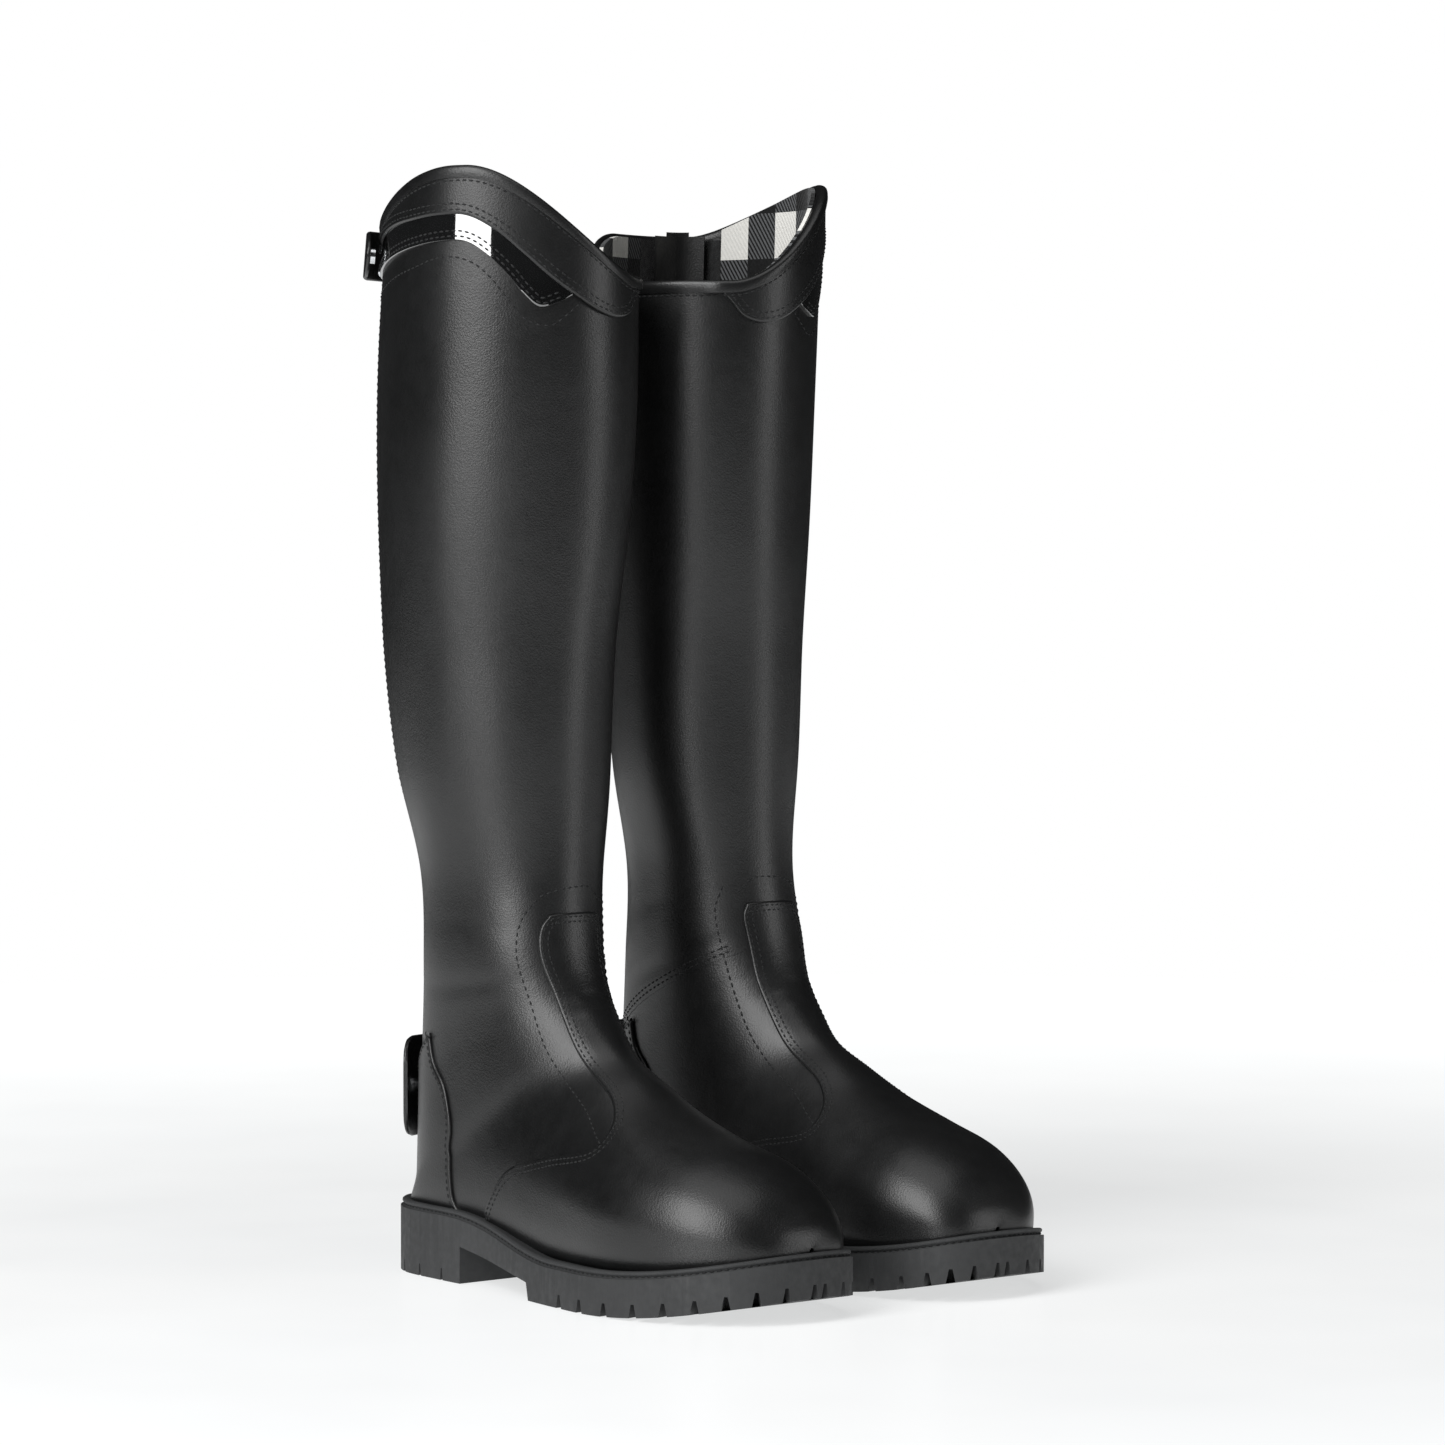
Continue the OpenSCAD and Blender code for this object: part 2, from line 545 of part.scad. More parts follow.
module welt() {
  color(rubber_grey) difference() {
    sole_prism(welt_inset, side_line(0.1), side_line(welt_h));
    linear_extrude(height = peak_h / 2) polygon(footprint(welt_h + 2.6, overlay_out + 0.8));
  }
}

shank_w = 14;
shank_t = 1.2;
shank_from = -20;
shank_to = foot_u(0.42);
board_inset = 14.5;
board_t = 2.6;
footbed_t = 4;

module shank_strip(grow) {
  intersection() {
    rotate([90, 0, 0]) linear_extrude(height = shank_w + 2 * grow, center = true)
      polygon(concat(side_line(0.2), [for (k = [side_steps:-1:0]) side_line(0.2 + shank_t + grow)[k]]));
    translate([shank_from - grow, -shank_w, 0])
      cube([shank_to - shank_from + 2 * grow, 2 * shank_w, peak_h / 2]);
  }
}

module shank() {
  color(metal_grey) shank_strip(0);
}

module insole_board() {
  color("peru") difference() {
    sole_prism(board_inset, side_line(0.2), side_line(0.2 + board_t));
    shank_strip(0.3);
  }
}

module footbed() {
  color("dimgray")
    sole_prism(board_inset + 1.5, side_line(0.4 + board_t), side_line(0.4 + board_t + footbed_t));
}

// ---- the zip ----------------------------------------------------------------

zip_end_t = 8.5;
tape_out = -leather_t - layer_gap;
tape_t = 0.8;
teeth_in = tape_out + 0.35;
teeth_out = 0.3;

// A strip beside the zip's line that bends with the leather
module zip_skin(from, to, inner, outer, top, bottom, steps) {
  grid = [for (k = [0:steps]) let (t = top + (bottom - top) * k / steps)
    [for (across = [from, (from + to) / 2, to]) [t, zip_angle(t, across)]]];
  skin(grid, inner, outer);
}

// A flat strip that follows the zip's line, between two distances from its
// middle (outer side positive) and two offsets
module zip_strip(from, to, inner, outer, top, bottom, steps) {
  function spot(t, across, offset) =
    let (row = row_at(t), turn = row[10],
         middle = form(t, 180), slope = form(t + 0.02, 180) - form(t - 0.02, 180),
         side = [sin(turn), cos(turn), 0], out = unit(cross(side, slope)))
    middle + across * side + offset * out;
  corners = [[from, inner], [to, inner], [to, outer], [from, outer]];
  points = [for (k = [0:steps]) for (c = corners) spot(top + (bottom - top) * k / steps, c[0], c[1])];
  faces = [
    [2, 1, 0], [3, 2, 0],
    for (k = [0:steps - 1]) for (c = [0:3])
      let (a = 4 * k + c, b = 4 * k + (c + 1) % 4, d = a + 4, e = b + 4) each [[a, b, e], [a, e, d]],
    let (n = 4 * steps) each [[n, n + 1, n + 2], [n, n + 2, n + 3]]
  ];
  polyhedron(points, faces);
}

teeth_top_z = back_line_z - 0.6;
module zip_tapes() {
  color(leather_black) for (side = [1, -1])
    zip_skin(side * teeth_gap / 2, side * (teeth_gap / 2 + tape_w), tape_out - tape_t, tape_out,
             calf_t(teeth_top_z), zip_end_t, 16);
}

module zip_teeth() {
  color(metal_grey * 0.3) for (side = [1, -1])
    zip_strip(side > 0 ? teeth_gap / 2 : -teeth_w / 2, side > 0 ? teeth_w / 2 : -teeth_gap / 2,
              teeth_in, teeth_out, calf_t(teeth_top_z), zip_end_t, 20);
}

module zip_guard() {
  color(leather_black) zip_skin(-15, 15, foot_lining_in - 1.6, foot_lining_in - 0.4,
                                calf_t(back_line_z + 3), zip_end_t, 16);
}

// Places a child on the zip's arc at a height: x points out of the boot,
// y to the inner side and z up along the zip
arc_x = calf_back + turn_axis_u - back_r;
module at_zip(z) {
  translate([turn_axis_u, 0, 0]) rotate([0, 0, 180 - shaft_turn])
    translate([arc_x, 0, calf_h]) rotate([0, -asin((z - calf_h) / back_r), 0])
      translate([back_r, 0, 0]) children();
}

// A block between two corners
module block(low, high) {
  translate(low) cube(high - low);
}

slider_clear = 0.6;
plate_in = teeth_out + slider_clear;
plate_t = 1.2;
back_plate_out = tape_out - tape_t - slider_clear - 0.9;

module zip_slider() {
  half = teeth_w / 2 + slider_clear + 1.3;
  color(metal_grey) at_zip(slider_h) {
    difference() {
      union() {
        block([plate_in, -half, -slider_l / 2], [plate_in + plate_t, half, slider_l / 2]);
        for (side = [1, -1])
          block([tape_out + slider_clear, side > 0 ? half - 1.3 : -half, -slider_l / 2],
                [plate_in + 0.1, side > 0 ? half : -half + 1.3, slider_l / 2]);
        block([back_plate_out - 0.9, -half, -slider_l / 2], [back_plate_out, half, slider_l / 2]);
        block([back_plate_out - 0.1, -0.4, slider_l / 2 - 4], [plate_in + 0.1, 0.4, slider_l / 2]);
        for (side = [1, -1])
          block([plate_in + plate_t - 0.1, side * 2 - 0.6, -2], [plate_in + plate_t + 3, side * 2 + 0.6, 2]);
      }
      translate([pull_x, 0, 0]) rotate([90, 0, 0]) cylinder(h = 12, r = 0.65, center = true, $fn = 32);
    }
  }
}

pull_x = plate_in + plate_t + 1.6;
module zip_pull() {
  color(metal_grey) at_zip(slider_h) {
    translate([pull_x, 0, 0]) rotate([90, 0, 0]) cylinder(h = 5, r = 0.6, center = true, $fn = 32);
    translate([pull_x, 0, 0]) rotate([0, 90, 0]) linear_extrude(height = 1, center = true)
      difference() {
        union() {
          translate([pull_l / 2, 0]) square([pull_l, 2.4], center = true);
          translate([pull_l - 3.5, 0]) circle(r = 3.5, $fn = 32);
        }
        translate([pull_l - 3.5, 0]) circle(r = 1.6, $fn = 32);
      }
  }
}

module zip_stops() {
  color(metal_grey) {
    at_zip(slider_h + slider_l / 2 + 1.4) for (side = [1, -1])
      block([teeth_out + 0.1, side > 0 ? 0.9 : -3, -1], [teeth_out + 0.9, side > 0 ? 3 : -0.9, 1]);
  }
}

// ---- the tabs over the ends of the zip ---------------------------------------

tab_hinge_y = 14;
tab_lift = cuff_out + 0.5;
stud_y = -13;
stud_disc_t = 0.8;
socket_t = 1.4;
stud_lift = tab_lift + stud_disc_t + 0.3 + socket_t;

// The calf's section around the zip, seen along it: how far round the curve
// a distance from the middle lies, and the point there at a height above it
function calf_share(y, tries = 9, share = 1) =
  tries == 0 ? share
  : calf_share(y, tries - 1, max(0, 1 - pow(y / (calf_side * (1 - pointed * share)), 2)));
function calf_spot(y) = [-(calf_back + calf_front) / 2 * (1 - sqrt(calf_share(y))), y];
function calf_out(y) = let (d = calf_spot(y - 0.5) - calf_spot(y + 0.5)) unit([-d[1], d[0]]);
function at_calf(y, lift) = calf_spot(y) + lift * calf_out(y);

// The strap's path around the back of the zip, from the hinge to the free end
TAB_PATH = [
  at_calf(tab_hinge_y, tab_lift),
  [tab_stand_off * 0.66, tab_hinge_y - 0.5],
  [tab_stand_off, 7],
  [tab_stand_off + 0.6, -1],
  [tab_stand_off - 2.2, -10],
  at_calf(stud_y + 3, stud_lift + 0.2),
  at_calf(stud_y, stud_lift),
  at_calf(stud_y - 5, stud_lift)
];

// A ribbon of even thickness around a path
function beside(path, k, side) =
  let (n = len(path) - 1, d = path[min(k + 1, n)] - path[max(k - 1, 0)])
  path[k] + side * unit([d[1], -d[0]]);
module ribbon(path, thickness) {
  n = len(path) - 1;
  polygon(concat([for (k = [0:n]) path[k]], [for (k = [n:-1:0]) beside(path, k, -thickness)]));
}

module top_tab() {
  color(patent_black) at_zip(tab_z) intersection() {
    linear_extrude(height = tab_h, center = true) ribbon(resample(TAB_PATH, 18), tab_t);
    rotate([0, 90, 0]) linear_extrude(height = 60, center = true)
      union() {
        translate([-tab_h / 2, -11]) square([tab_h, 40]);
        translate([0, -11]) scale([1, 0.8]) circle(d = tab_h, $fn = 48);
      }
  }
}

module top_tab_root() {
  start = tab_hinge_y + tab_t + 0.6;
  path = [for (k = [0:5]) at_calf(start + 14 - 14 * k / 5, tab_lift)];
  color(patent_black) at_zip(tab_z)
    linear_extrude(height = tab_h, center = true) ribbon(path, tab_t);
}

module stud_post(base, height) {
  translate([base, 0, 0]) rotate([0, 90, 0]) {
    cylinder(h = stud_disc_t, r = 3.6, $fn = 48);
    cylinder(h = height, r = 2, $fn = 48);
  }
}

// Places a child on the calf's face at the stud, x pointing out
module at_top_stud(lift) {
  spot = at_calf(stud_y, lift);
  out = calf_out(stud_y);
  at_zip(tab_z) translate([spot[0], spot[1], 0]) rotate([0, 0, atan2(out[1], out[0])]) children();
}
heel_arc_r = 33;
heel_arc_x = 9;
heel_stud_turn = 14;
heel_back_u = 8 - heel_reach;

module at_heel() {
  translate([heel_back_u, 0, heel_tab_z]) rotate([0, 0, 180]) children();
}
module at_heel_stud() {
  at_heel() translate([heel_arc_x - heel_arc_r, 0, 0]) rotate([0, 0, -heel_stud_turn])
    translate([heel_arc_r, 0, 0]) children();
}

module press_studs() {
  color(metal_grey) {
    at_top_stud(tab_lift) stud_post(0, stud_disc_t + 1.2);
    at_heel_stud() translate([-2.6, 0, 0]) rotate([0, 90, 0]) {
      cylinder(h = 0.8, r = 4, $fn = 48);
      cylinder(h = 2.2, r = 2, $fn = 48);
    }
  }
}

module top_tab_socket() {
  color(metal_grey) at_top_stud(stud_lift - socket_t - 0.25)
    rotate([0, 90, 0]) difference() {
      cylinder(h = socket_t, r = 3.6, $fn = 48);
      translate([0, 0, -1]) cylinder(h = 4, r = 2.4, $fn = 48);
    }
}

module heel_ring(inner, outer, from, to) {
  translate([heel_arc_x - heel_arc_r, 0, 0]) rotate([0, 0, from])
    rotate_extrude(angle = to - from, $fn = 128) translate([inner, -heel_tab_h / 2])
      square([outer - inner, heel_tab_h]);
}

module heel_tab() {
  color(leather_black) at_heel() intersection() {
    heel_ring(heel_arc_r, heel_arc_r + tab_t + 0.6, -44, 34);
    rotate([0, 90, 0]) linear_extrude(height = 80, center = true)
      polygon([[-heel_tab_h * 0.5, 24], [heel_tab_h * 0.5, 24], [heel_tab_h * 0.5, -15],
               [heel_tab_h * 0.44, -21], [heel_tab_h * 0.3, -26], [-heel_tab_h * 0.3, -26],
               [-heel_tab_h * 0.44, -21], [-heel_tab_h * 0.5, -15]]);
  }
}

module heel_tab_root() {
  color(leather_black) at_heel() heel_ring(heel_arc_r - 3.4, heel_arc_r - 0.4, 35, 50);
}

module heel_tab_cap() {
  color(patent_black) at_heel_stud() translate([tab_t + 0.7, 0, 0]) rotate([0, 90, 0]) {
    cylinder(h = 1, r = stud_cap_r, $fn = 64);
    translate([0, 0, 1]) cylinder(h = 1.4, r1 = stud_cap_r, r2 = stud_cap_r - 2.5, $fn = 64);
  }
}

// ---- the pair ------------------------------------------------------------------

// Rearmost point of the top tab, which sets the middle of the pair
tab_tilt = asin((tab_z - calf_h) / back_r);
tab_outer = let (path = resample(TAB_PATH, 18)) [for (k = [0:len(path) - 1]) beside(path, k, -tab_t)];
rear_u = turn_axis_u - max([for (p = tab_outer)
  cos(shaft_turn) * (arc_x + (back_r + p[0]) * cos(tab_tilt) + tab_h / 2 * abs(sin(tab_tilt)))
  + sin(shaft_turn) * p[1]]);
centre_y = (toe_reach + rear_u) / 2;

module stand(side) {
  mirror([side == "right" ? 1 : 0, 0, 0]) translate([boot_spacing / 2, centre_y, 0])
    rotate([0, 0, -90]) children();
}
module piece(part, side) {
  stand(side) children();
}

for (side = SIDES) {
  piece("outsole", side) outsole();
  piece("welt", side) welt();
  piece("shank", side) shank();
  piece("insole_board", side) insole_board();
  piece("footbed", side) footbed();
  piece("shaft_leather", side) shaft_leather();
  piece("inner_quarter", side) inner_quarter();
  piece("vamp", side) vamp();
  piece("heel_counter", side) heel_counter();
  piece("top_cuff", side) top_cuff();
  piece("patent_band", side) patent_band();
  piece("rim_binding", side) rim_binding();
  piece("plaid_lining", side) plaid_lining();
  piece("fleece_lining", side) fleece_lining();
  piece("toe_puff", side) toe_puff();
  piece("heel_stiffener", side) heel_stiffener();
  piece("zip_tapes", side) zip_tapes();
  piece("zip_teeth", side) zip_teeth();
  piece("zip_stops", side) zip_stops();
  piece("zip_slider", side) zip_slider();
  piece("zip_pull", side) zip_pull();
  piece("zip_guard", side) zip_guard();
  piece("top_tab_root", side) top_tab_root();
  piece("top_tab", side) top_tab();
  piece("top_tab_socket", side) top_tab_socket();
  piece("heel_tab_root", side) heel_tab_root();
  piece("heel_tab", side) heel_tab();
  piece("heel_tab_cap", side) heel_tab_cap();
  piece("press_studs", side) press_studs();
}
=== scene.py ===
import json
import math
import bpy
import bmesh
import numpy as np
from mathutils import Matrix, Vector

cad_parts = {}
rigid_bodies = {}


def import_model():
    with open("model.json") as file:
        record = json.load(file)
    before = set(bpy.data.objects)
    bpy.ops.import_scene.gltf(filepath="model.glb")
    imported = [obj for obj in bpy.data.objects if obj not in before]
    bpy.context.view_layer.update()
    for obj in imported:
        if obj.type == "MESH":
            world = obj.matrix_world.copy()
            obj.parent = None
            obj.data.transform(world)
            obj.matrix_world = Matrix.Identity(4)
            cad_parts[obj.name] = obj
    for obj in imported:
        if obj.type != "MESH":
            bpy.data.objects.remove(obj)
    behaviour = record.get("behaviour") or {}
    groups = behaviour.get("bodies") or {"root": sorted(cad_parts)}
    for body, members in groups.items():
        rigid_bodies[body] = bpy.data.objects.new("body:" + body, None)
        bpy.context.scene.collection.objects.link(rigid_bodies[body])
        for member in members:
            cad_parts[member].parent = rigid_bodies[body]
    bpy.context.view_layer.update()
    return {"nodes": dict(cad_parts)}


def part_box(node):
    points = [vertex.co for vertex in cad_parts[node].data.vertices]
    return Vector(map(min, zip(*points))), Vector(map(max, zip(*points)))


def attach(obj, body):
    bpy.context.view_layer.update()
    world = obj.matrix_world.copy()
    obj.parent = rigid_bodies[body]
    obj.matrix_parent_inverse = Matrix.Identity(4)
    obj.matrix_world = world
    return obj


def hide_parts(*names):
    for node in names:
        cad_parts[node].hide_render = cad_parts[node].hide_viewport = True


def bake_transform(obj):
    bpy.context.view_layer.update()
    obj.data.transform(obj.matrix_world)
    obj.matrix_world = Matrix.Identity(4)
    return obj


for spare in list(bpy.data.objects):
    bpy.data.objects.remove(spare)

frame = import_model()

# ---- sizes, in millimetres ----
# u runs forward to the toe, v to the outer side and z up, from the leg's axis

SPACING = 121.0
PEAK_H, FRONT_DROP, BACK_DROP = 510.0, 49.0, 22.0
CALF_H, CALF_BACK, CALF_FRONT, CALF_SIDE = 372.0, 67.0, 62.0, 54.0
BACK_R, SHAFT_TURN, POINTED = 1100.0, 25.0, 0.35
ANKLE_H, ANKLE_BACK, ANKLE_FRONT, ANKLE_SIDE = 190.0, 48.0, 47.5, 37.0
TOE_REACH, HEEL_REACH = 215.0, 56.0
BALL_OUTER, BALL_INNER, HEEL_HALF = 57.0, 49.0, 39.0
HEEL_L, HEEL_T, FORE_T, TOE_SPRING = 73.0, 30.0, 17.0, 11.0
LUG_H, LUG_GAP = 4.5, 3.0
LEATHER_T, SLOT_HALF = 1.8, 6.0
TAB_H, TAB_Z, TAB_OFF, TAB_T = 23.0, 474.5, 8.5, 2.0
HINGE_Y, STUD_Y = 14.0, -13.0
HEEL_TAB_Z, HEEL_TAB_R, HEEL_TAB_OFF, CAP_R = 84.0, 33.0, 9.0, 7.0
AXIS_U = -2.0
CENTRE_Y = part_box("outsole_left")[0].y * 1000 + TOE_REACH

CALF_TOP, CALF_LOW, CALF_STEPS = PEAK_H + 12, 235.0, 5
CALF_STEP = (CALF_TOP - CALF_LOW) / CALF_STEPS


def back_line(z):
    return CALF_BACK - BACK_R + np.sqrt(BACK_R ** 2 - (z - CALF_H) ** 2)


def calf_row(k, front, side, bend):
    z = CALF_TOP - k * CALF_STEP
    turn = SHAFT_TURN if k < CALF_STEPS else SHAFT_TURN * 0.8
    return [CALF_FRONT * front, z, -back_line(z), z, CALF_SIDE * side, CALF_SIDE * side,
            0.5, bend, 2, 0, turn, POINTED]


def fu(share):
    """A share of the reach to the toe."""
    return TOE_REACH * share


ROWS = np.array([
    calf_row(0, 1, 1, 2), calf_row(1, 1, 1, 2), calf_row(2, 0.99, 0.965, 2),
    calf_row(3, 0.93, 0.93, 2), calf_row(4, 0.83, 0.87, 2.05), calf_row(5, 0.785, 0.81, 2.1),
    [ANKLE_FRONT, ANKLE_H, -ANKLE_BACK, ANKLE_H - 5, ANKLE_SIDE, ANKLE_SIDE,
     0.5, 2.2, 2, 0, SHAFT_TURN / 3, POINTED * 0.6],
    [ANKLE_FRONT + 4, 158, 1 - ANKLE_BACK, 140, ANKLE_SIDE - 1, ANKLE_SIDE - 1,
     0.5, 2.2, 2, 0, 0, POINTED * 0.2],
    [ANKLE_FRONT + 12, 136, 8 - HEEL_REACH, 92, HEEL_HALF - 5, HEEL_HALF - 5,
     0.48, 2.2, 2.2, 0, 0, 0],
    [fu(0.33), 120, 8 - HEEL_REACH, 38, HEEL_HALF - 4, HEEL_HALF - 5, 0.42, 2.2, 2.25, 0, 0, 0],
    [fu(0.39), 107, 7 - HEEL_REACH, 16, HEEL_HALF - 4, HEEL_HALF - 5, 0.44, 2.1, 2.5, 0, 0, 0],
    [fu(0.47), 97, fu(0.12), 12, HEEL_HALF, HEEL_HALF - 4, 0.44, 2.1, 3, 0, 0, 0],
    [fu(0.56), 86, fu(0.38), 9, BALL_OUTER - 11, BALL_INNER - 10, 0.45, 2.1, 3.4, 0, 0, 0],
    [fu(0.68), 76, fu(0.60), 8, BALL_OUTER - 6, BALL_INNER - 8, 0.45, 2.1, 3.2, -0.5, 0, 0],
    [fu(0.80), 68, fu(0.77), 9, BALL_OUTER - 11, BALL_INNER - 8, 0.46, 2.2, 3, -1.5, 0, 0],
    [fu(0.90), 56, fu(0.89), 13, BALL_OUTER - 22, BALL_INNER - 17, 0.48, 2.2, 2.8, -3, 0, 0],
    [fu(0.955), 42, fu(0.955), 19, BALL_OUTER - 36, BALL_INNER - 29, 0.5, 2.2, 2.4, -4.5, 0, 0],
    [fu(0.972), 32, fu(0.972), 30, 1, 1, 0.5, 2.2, 2.2, -5, 0, 0],
])


def glide(a, b, c, d, f):
    return 0.5 * (2 * b + (c - a) * f + (2 * a - 5 * b + 4 * c - d) * f * f
                  + (3 * b - a - 3 * c + d) * f ** 3)


def along(table, t):
    """Smooth curve through a table's rows at positions t."""
    table, t = np.asarray(table, float), np.asarray(t, float)
    last = len(table) - 1
    i = np.clip(np.floor(t).astype(int), 0, last - 1)
    b, c = table[i], table[i + 1]
    first, final = (i == 0)[..., None], (i + 2 > last)[..., None]
    a = np.where(first, 2 * b - c, table[np.maximum(i - 1, 0)])
    d = np.where(final, 2 * c - b, table[np.minimum(i + 2, last)])
    return glide(a, b, c, d, (t - i)[..., None])


def resample(table, count):
    table = np.asarray(table, float)
    return along(table, np.linspace(0, len(table) - 1, count + 1))


def row_at(t):
    t = np.asarray(t, float)
    row = along(ROWS, t)
    upper = t <= CALF_STEPS
    z = CALF_TOP - np.minimum(t, CALF_STEPS) * CALF_STEP
    row[..., 2] = np.where(upper, -back_line(z), row[..., 2])
    row[..., 10] = np.where(t < CALF_STEPS - 1, SHAFT_TURN, row[..., 10])
    return row


def form(t, angle):
    """Outer face of the leather at a station and an angle from the front."""
    t, angle = np.broadcast_arrays(np.asarray(t, float), np.asarray(angle, float))
    r, a = row_at(t), np.radians(angle)
    cos, sin = np.cos(a), np.sin(a)
    ahead = cos >= 0
    power = 2 / np.where(ahead, r[..., 7], r[..., 8])
    reach = np.abs(cos) ** power
    narrow = np.where(ahead, 1, 1 - r[..., 11] * reach ** 2)
    side = np.sign(sin) * np.abs(sin) ** power * narrow
    mid_u = r[..., 2] + (r[..., 0] - r[..., 2]) * r[..., 6]
    mid_z = r[..., 3] + (r[..., 1] - r[..., 3]) * r[..., 6]
    u = mid_u + (np.where(ahead, r[..., 0], r[..., 2]) - mid_u) * reach - AXIS_U
    z = mid_z + (np.where(ahead, r[..., 1], r[..., 3]) - mid_z) * reach
    v = np.where(side >= 0, r[..., 4], r[..., 5]) * side + r[..., 9]
    turn = np.radians(r[..., 10])
    return np.stack([AXIS_U + u * np.cos(turn) + v * np.sin(turn),
                     -u * np.sin(turn) + v * np.cos(turn), z], -1)


def unit(p):
    return p / np.maximum(np.linalg.norm(p, axis=-1, keepdims=True), 1e-9)


def slopes(t, angle):
    down = (form(t + 0.02, angle) - form(t - 0.02, angle)) / 0.04
    around = (form(t, angle + 1) - form(t, angle - 1)) / 2
    return down, around


def outward(t, angle):
    down, around = slopes(t, angle)
    return unit(np.cross(down, around))


def layer(t, angle, offset):
    t, angle = np.broadcast_arrays(np.asarray(t, float), np.asarray(angle, float))
    return form(t, angle) + np.asarray(offset)[..., None] * outward(t, angle)


def ease(f):
    f = np.clip(f, 0, 1)
    return f * f * (3 - 2 * f)


def spring_at(u):
    f = np.maximum(0, (u - fu(0.6)) / (TOE_REACH - fu(0.6)))
    return TOE_SPRING * f * f


def sole_top(u):
    u = np.asarray(u, float)
    return FORE_T + (HEEL_T - FORE_T) * ease((fu(0.46) - u) / (fu(0.46) - 5)) + spring_at(u)


def feather(t, lift=0.6):
    """Angle at which a station of the foot meets the sole."""
    row = row_at(t)
    mid_z, mid_u = row[3] + (row[1] - row[3]) * row[6], row[2] + (row[0] - row[2]) * row[6]
    low_u = mid_u + (row[2] - mid_u) * 0.65
    share = min(max((mid_z - sole_top(low_u) - lift) / (mid_z - row[3]), 0.05), 1)
    return 180 - math.degrees(math.acos(share ** (row[8] / 2)))


def heel_station(angle, lift=0.6):
    """Station at which the heel meets the sole at an angle."""
    low, high = 8.8, 10.7
    for _ in range(14):
        mid = (low + high) / 2
        spot = form(mid, angle)
        low, high = (mid, high) if spot[2] > sole_top(spot[0]) + lift else (low, mid)
    return (low + high) / 2


def calf_t(z):
    return (CALF_TOP - np.asarray(z, float)) / CALF_STEP


def zip_angle(t, across):
    row = row_at(t)
    share = np.abs(across) / (row[..., 4] * (1 - row[..., 11]))
    back = np.degrees(np.arcsin(np.minimum(share ** (row[..., 8] / 2), 1)))
    return 180 - np.where(np.asarray(across) < 0, -back, back)


FRONT_LINE, BACK_LINE = PEAK_H - FRONT_DROP, PEAK_H - BACK_DROP


def top_line(angle):
    angle = np.asarray(angle, float)
    outer = PEAK_H - BACK_DROP * ease((angle - 90) / 80)
    front = FRONT_LINE + FRONT_DROP * ease((angle + 5) / 91)
    inner = FRONT_LINE + (BACK_LINE - FRONT_LINE) * ease((-angle - 55) / 75)
    return np.where(angle > 90, outer, np.where(angle > -5, front, inner))


ZIP_END = 8.5
SLOT_TOP = float(zip_angle(0.6, SLOT_HALF))


def slot_line(t):
    return zip_angle(t, 0.4 + (SLOT_HALF - 0.4) * (1 - ease((t - ZIP_END) / 0.7)))


def between(upper, lower, steps, columns, crowd=0.0):
    a, b = resample(upper, columns), resample(lower, columns)
    f = np.linspace(0, 1, steps + 1)
    g = (f + crowd * f * (1 - f))[:, None, None]
    grid = a + (b - a) * g
    return grid[..., 0], grid[..., 1]


def along_slot(t, a, first, last):
    n = a.shape[1] - 1
    f = np.arange(n + 1) / n
    start = (slot_line(t[:, 0]) - a[:, 0])[:, None] if first else 0
    end = (-slot_line(t[:, n]) - a[:, n])[:, None] if last else 0
    return t, a + start * (1 - f) ** 10 + end * f ** 10


# ---- places on the boot ----

def edge(table, lift=0.0):
    return [[float(calf_t(PEAK_H - drop + lift)), angle] for angle, drop in table]


CUFF_EDGE = [[SLOT_TOP, 31], [156, 28], [141, 25.5], [127, 23], [113, 21.5], [98, 20], [84, 20.5],
             [71, 27.5], [59, 38], [48, 48], [37, 56], [24, 63.5], [12, 66], [2, 63.5], [-5, 56],
             [-9, FRONT_DROP + 3]]
BAND_EDGE = [[SLOT_TOP, 46], [156, 43], [141, 39.5], [127, 36.5], [113, 34], [98, 32], [85, 32],
             [75, 38], [66, 47], [59, 56], [52, 62], [44, 60], [37, 56.5]]
BAND_TUCK = [[SLOT_TOP, 31], [156, 28], [141, 25.5], [127, 23], [113, 21.5], [98, 20], [85, 20.5],
             [75, 25], [66, 31.5], [59, 38], [52, 44.5], [44, 51], [37, 55]]
SHAFT_STITCH = [[SLOT_TOP - 6, 56], [156, 53], [143, 50], [126, 46], [112, 43], [101, 40], [91, 39],
                [81, 42], [73, 49], [66, 58], [60, 66], [53, 70], [46, 70], [40, 66], [34, 61]]


def inner_seam(k):
    t = 7.35 + 0.07 * k
    return [t, -30 + (30 - float(zip_angle(t, SLOT_HALF))) * k / 9]


MAIN_LOWER = ([[heel_station(a, 1.2), a] for a in range(176, 125, -10)]
              + [[10.3, feather(10.3, 1.2)], [10.7, feather(10.7, 1.2)], [11.05, 103], [11.05, 90],
                 [11.25, 78], [11.95, 66], [12.25, 50], [11.9, 36], [11.3, 27], [10.6, 22],
                 [9.9, 20.5], [9.2, 19.7], [8.6, 19.5], [7.9, 20.5], [7.2, 22], [6.95, 12],
                 [6.95, 2], [6.95, -8], [7.2, -18], [7.35, -30]]
              + [inner_seam(k) for k in range(1, 10)])
MAIN_ANGLES = ([SLOT_TOP, 163, 155, 147, 139, 131, 123, 115, 106, 97, 88, 79, 70, 62, 54, 47, 40, 33,
                26, 19, 12, 4, -5, -15, -27, -42]
               + [-42 - (SLOT_TOP - 42) * k / 9 for k in range(1, 10)])
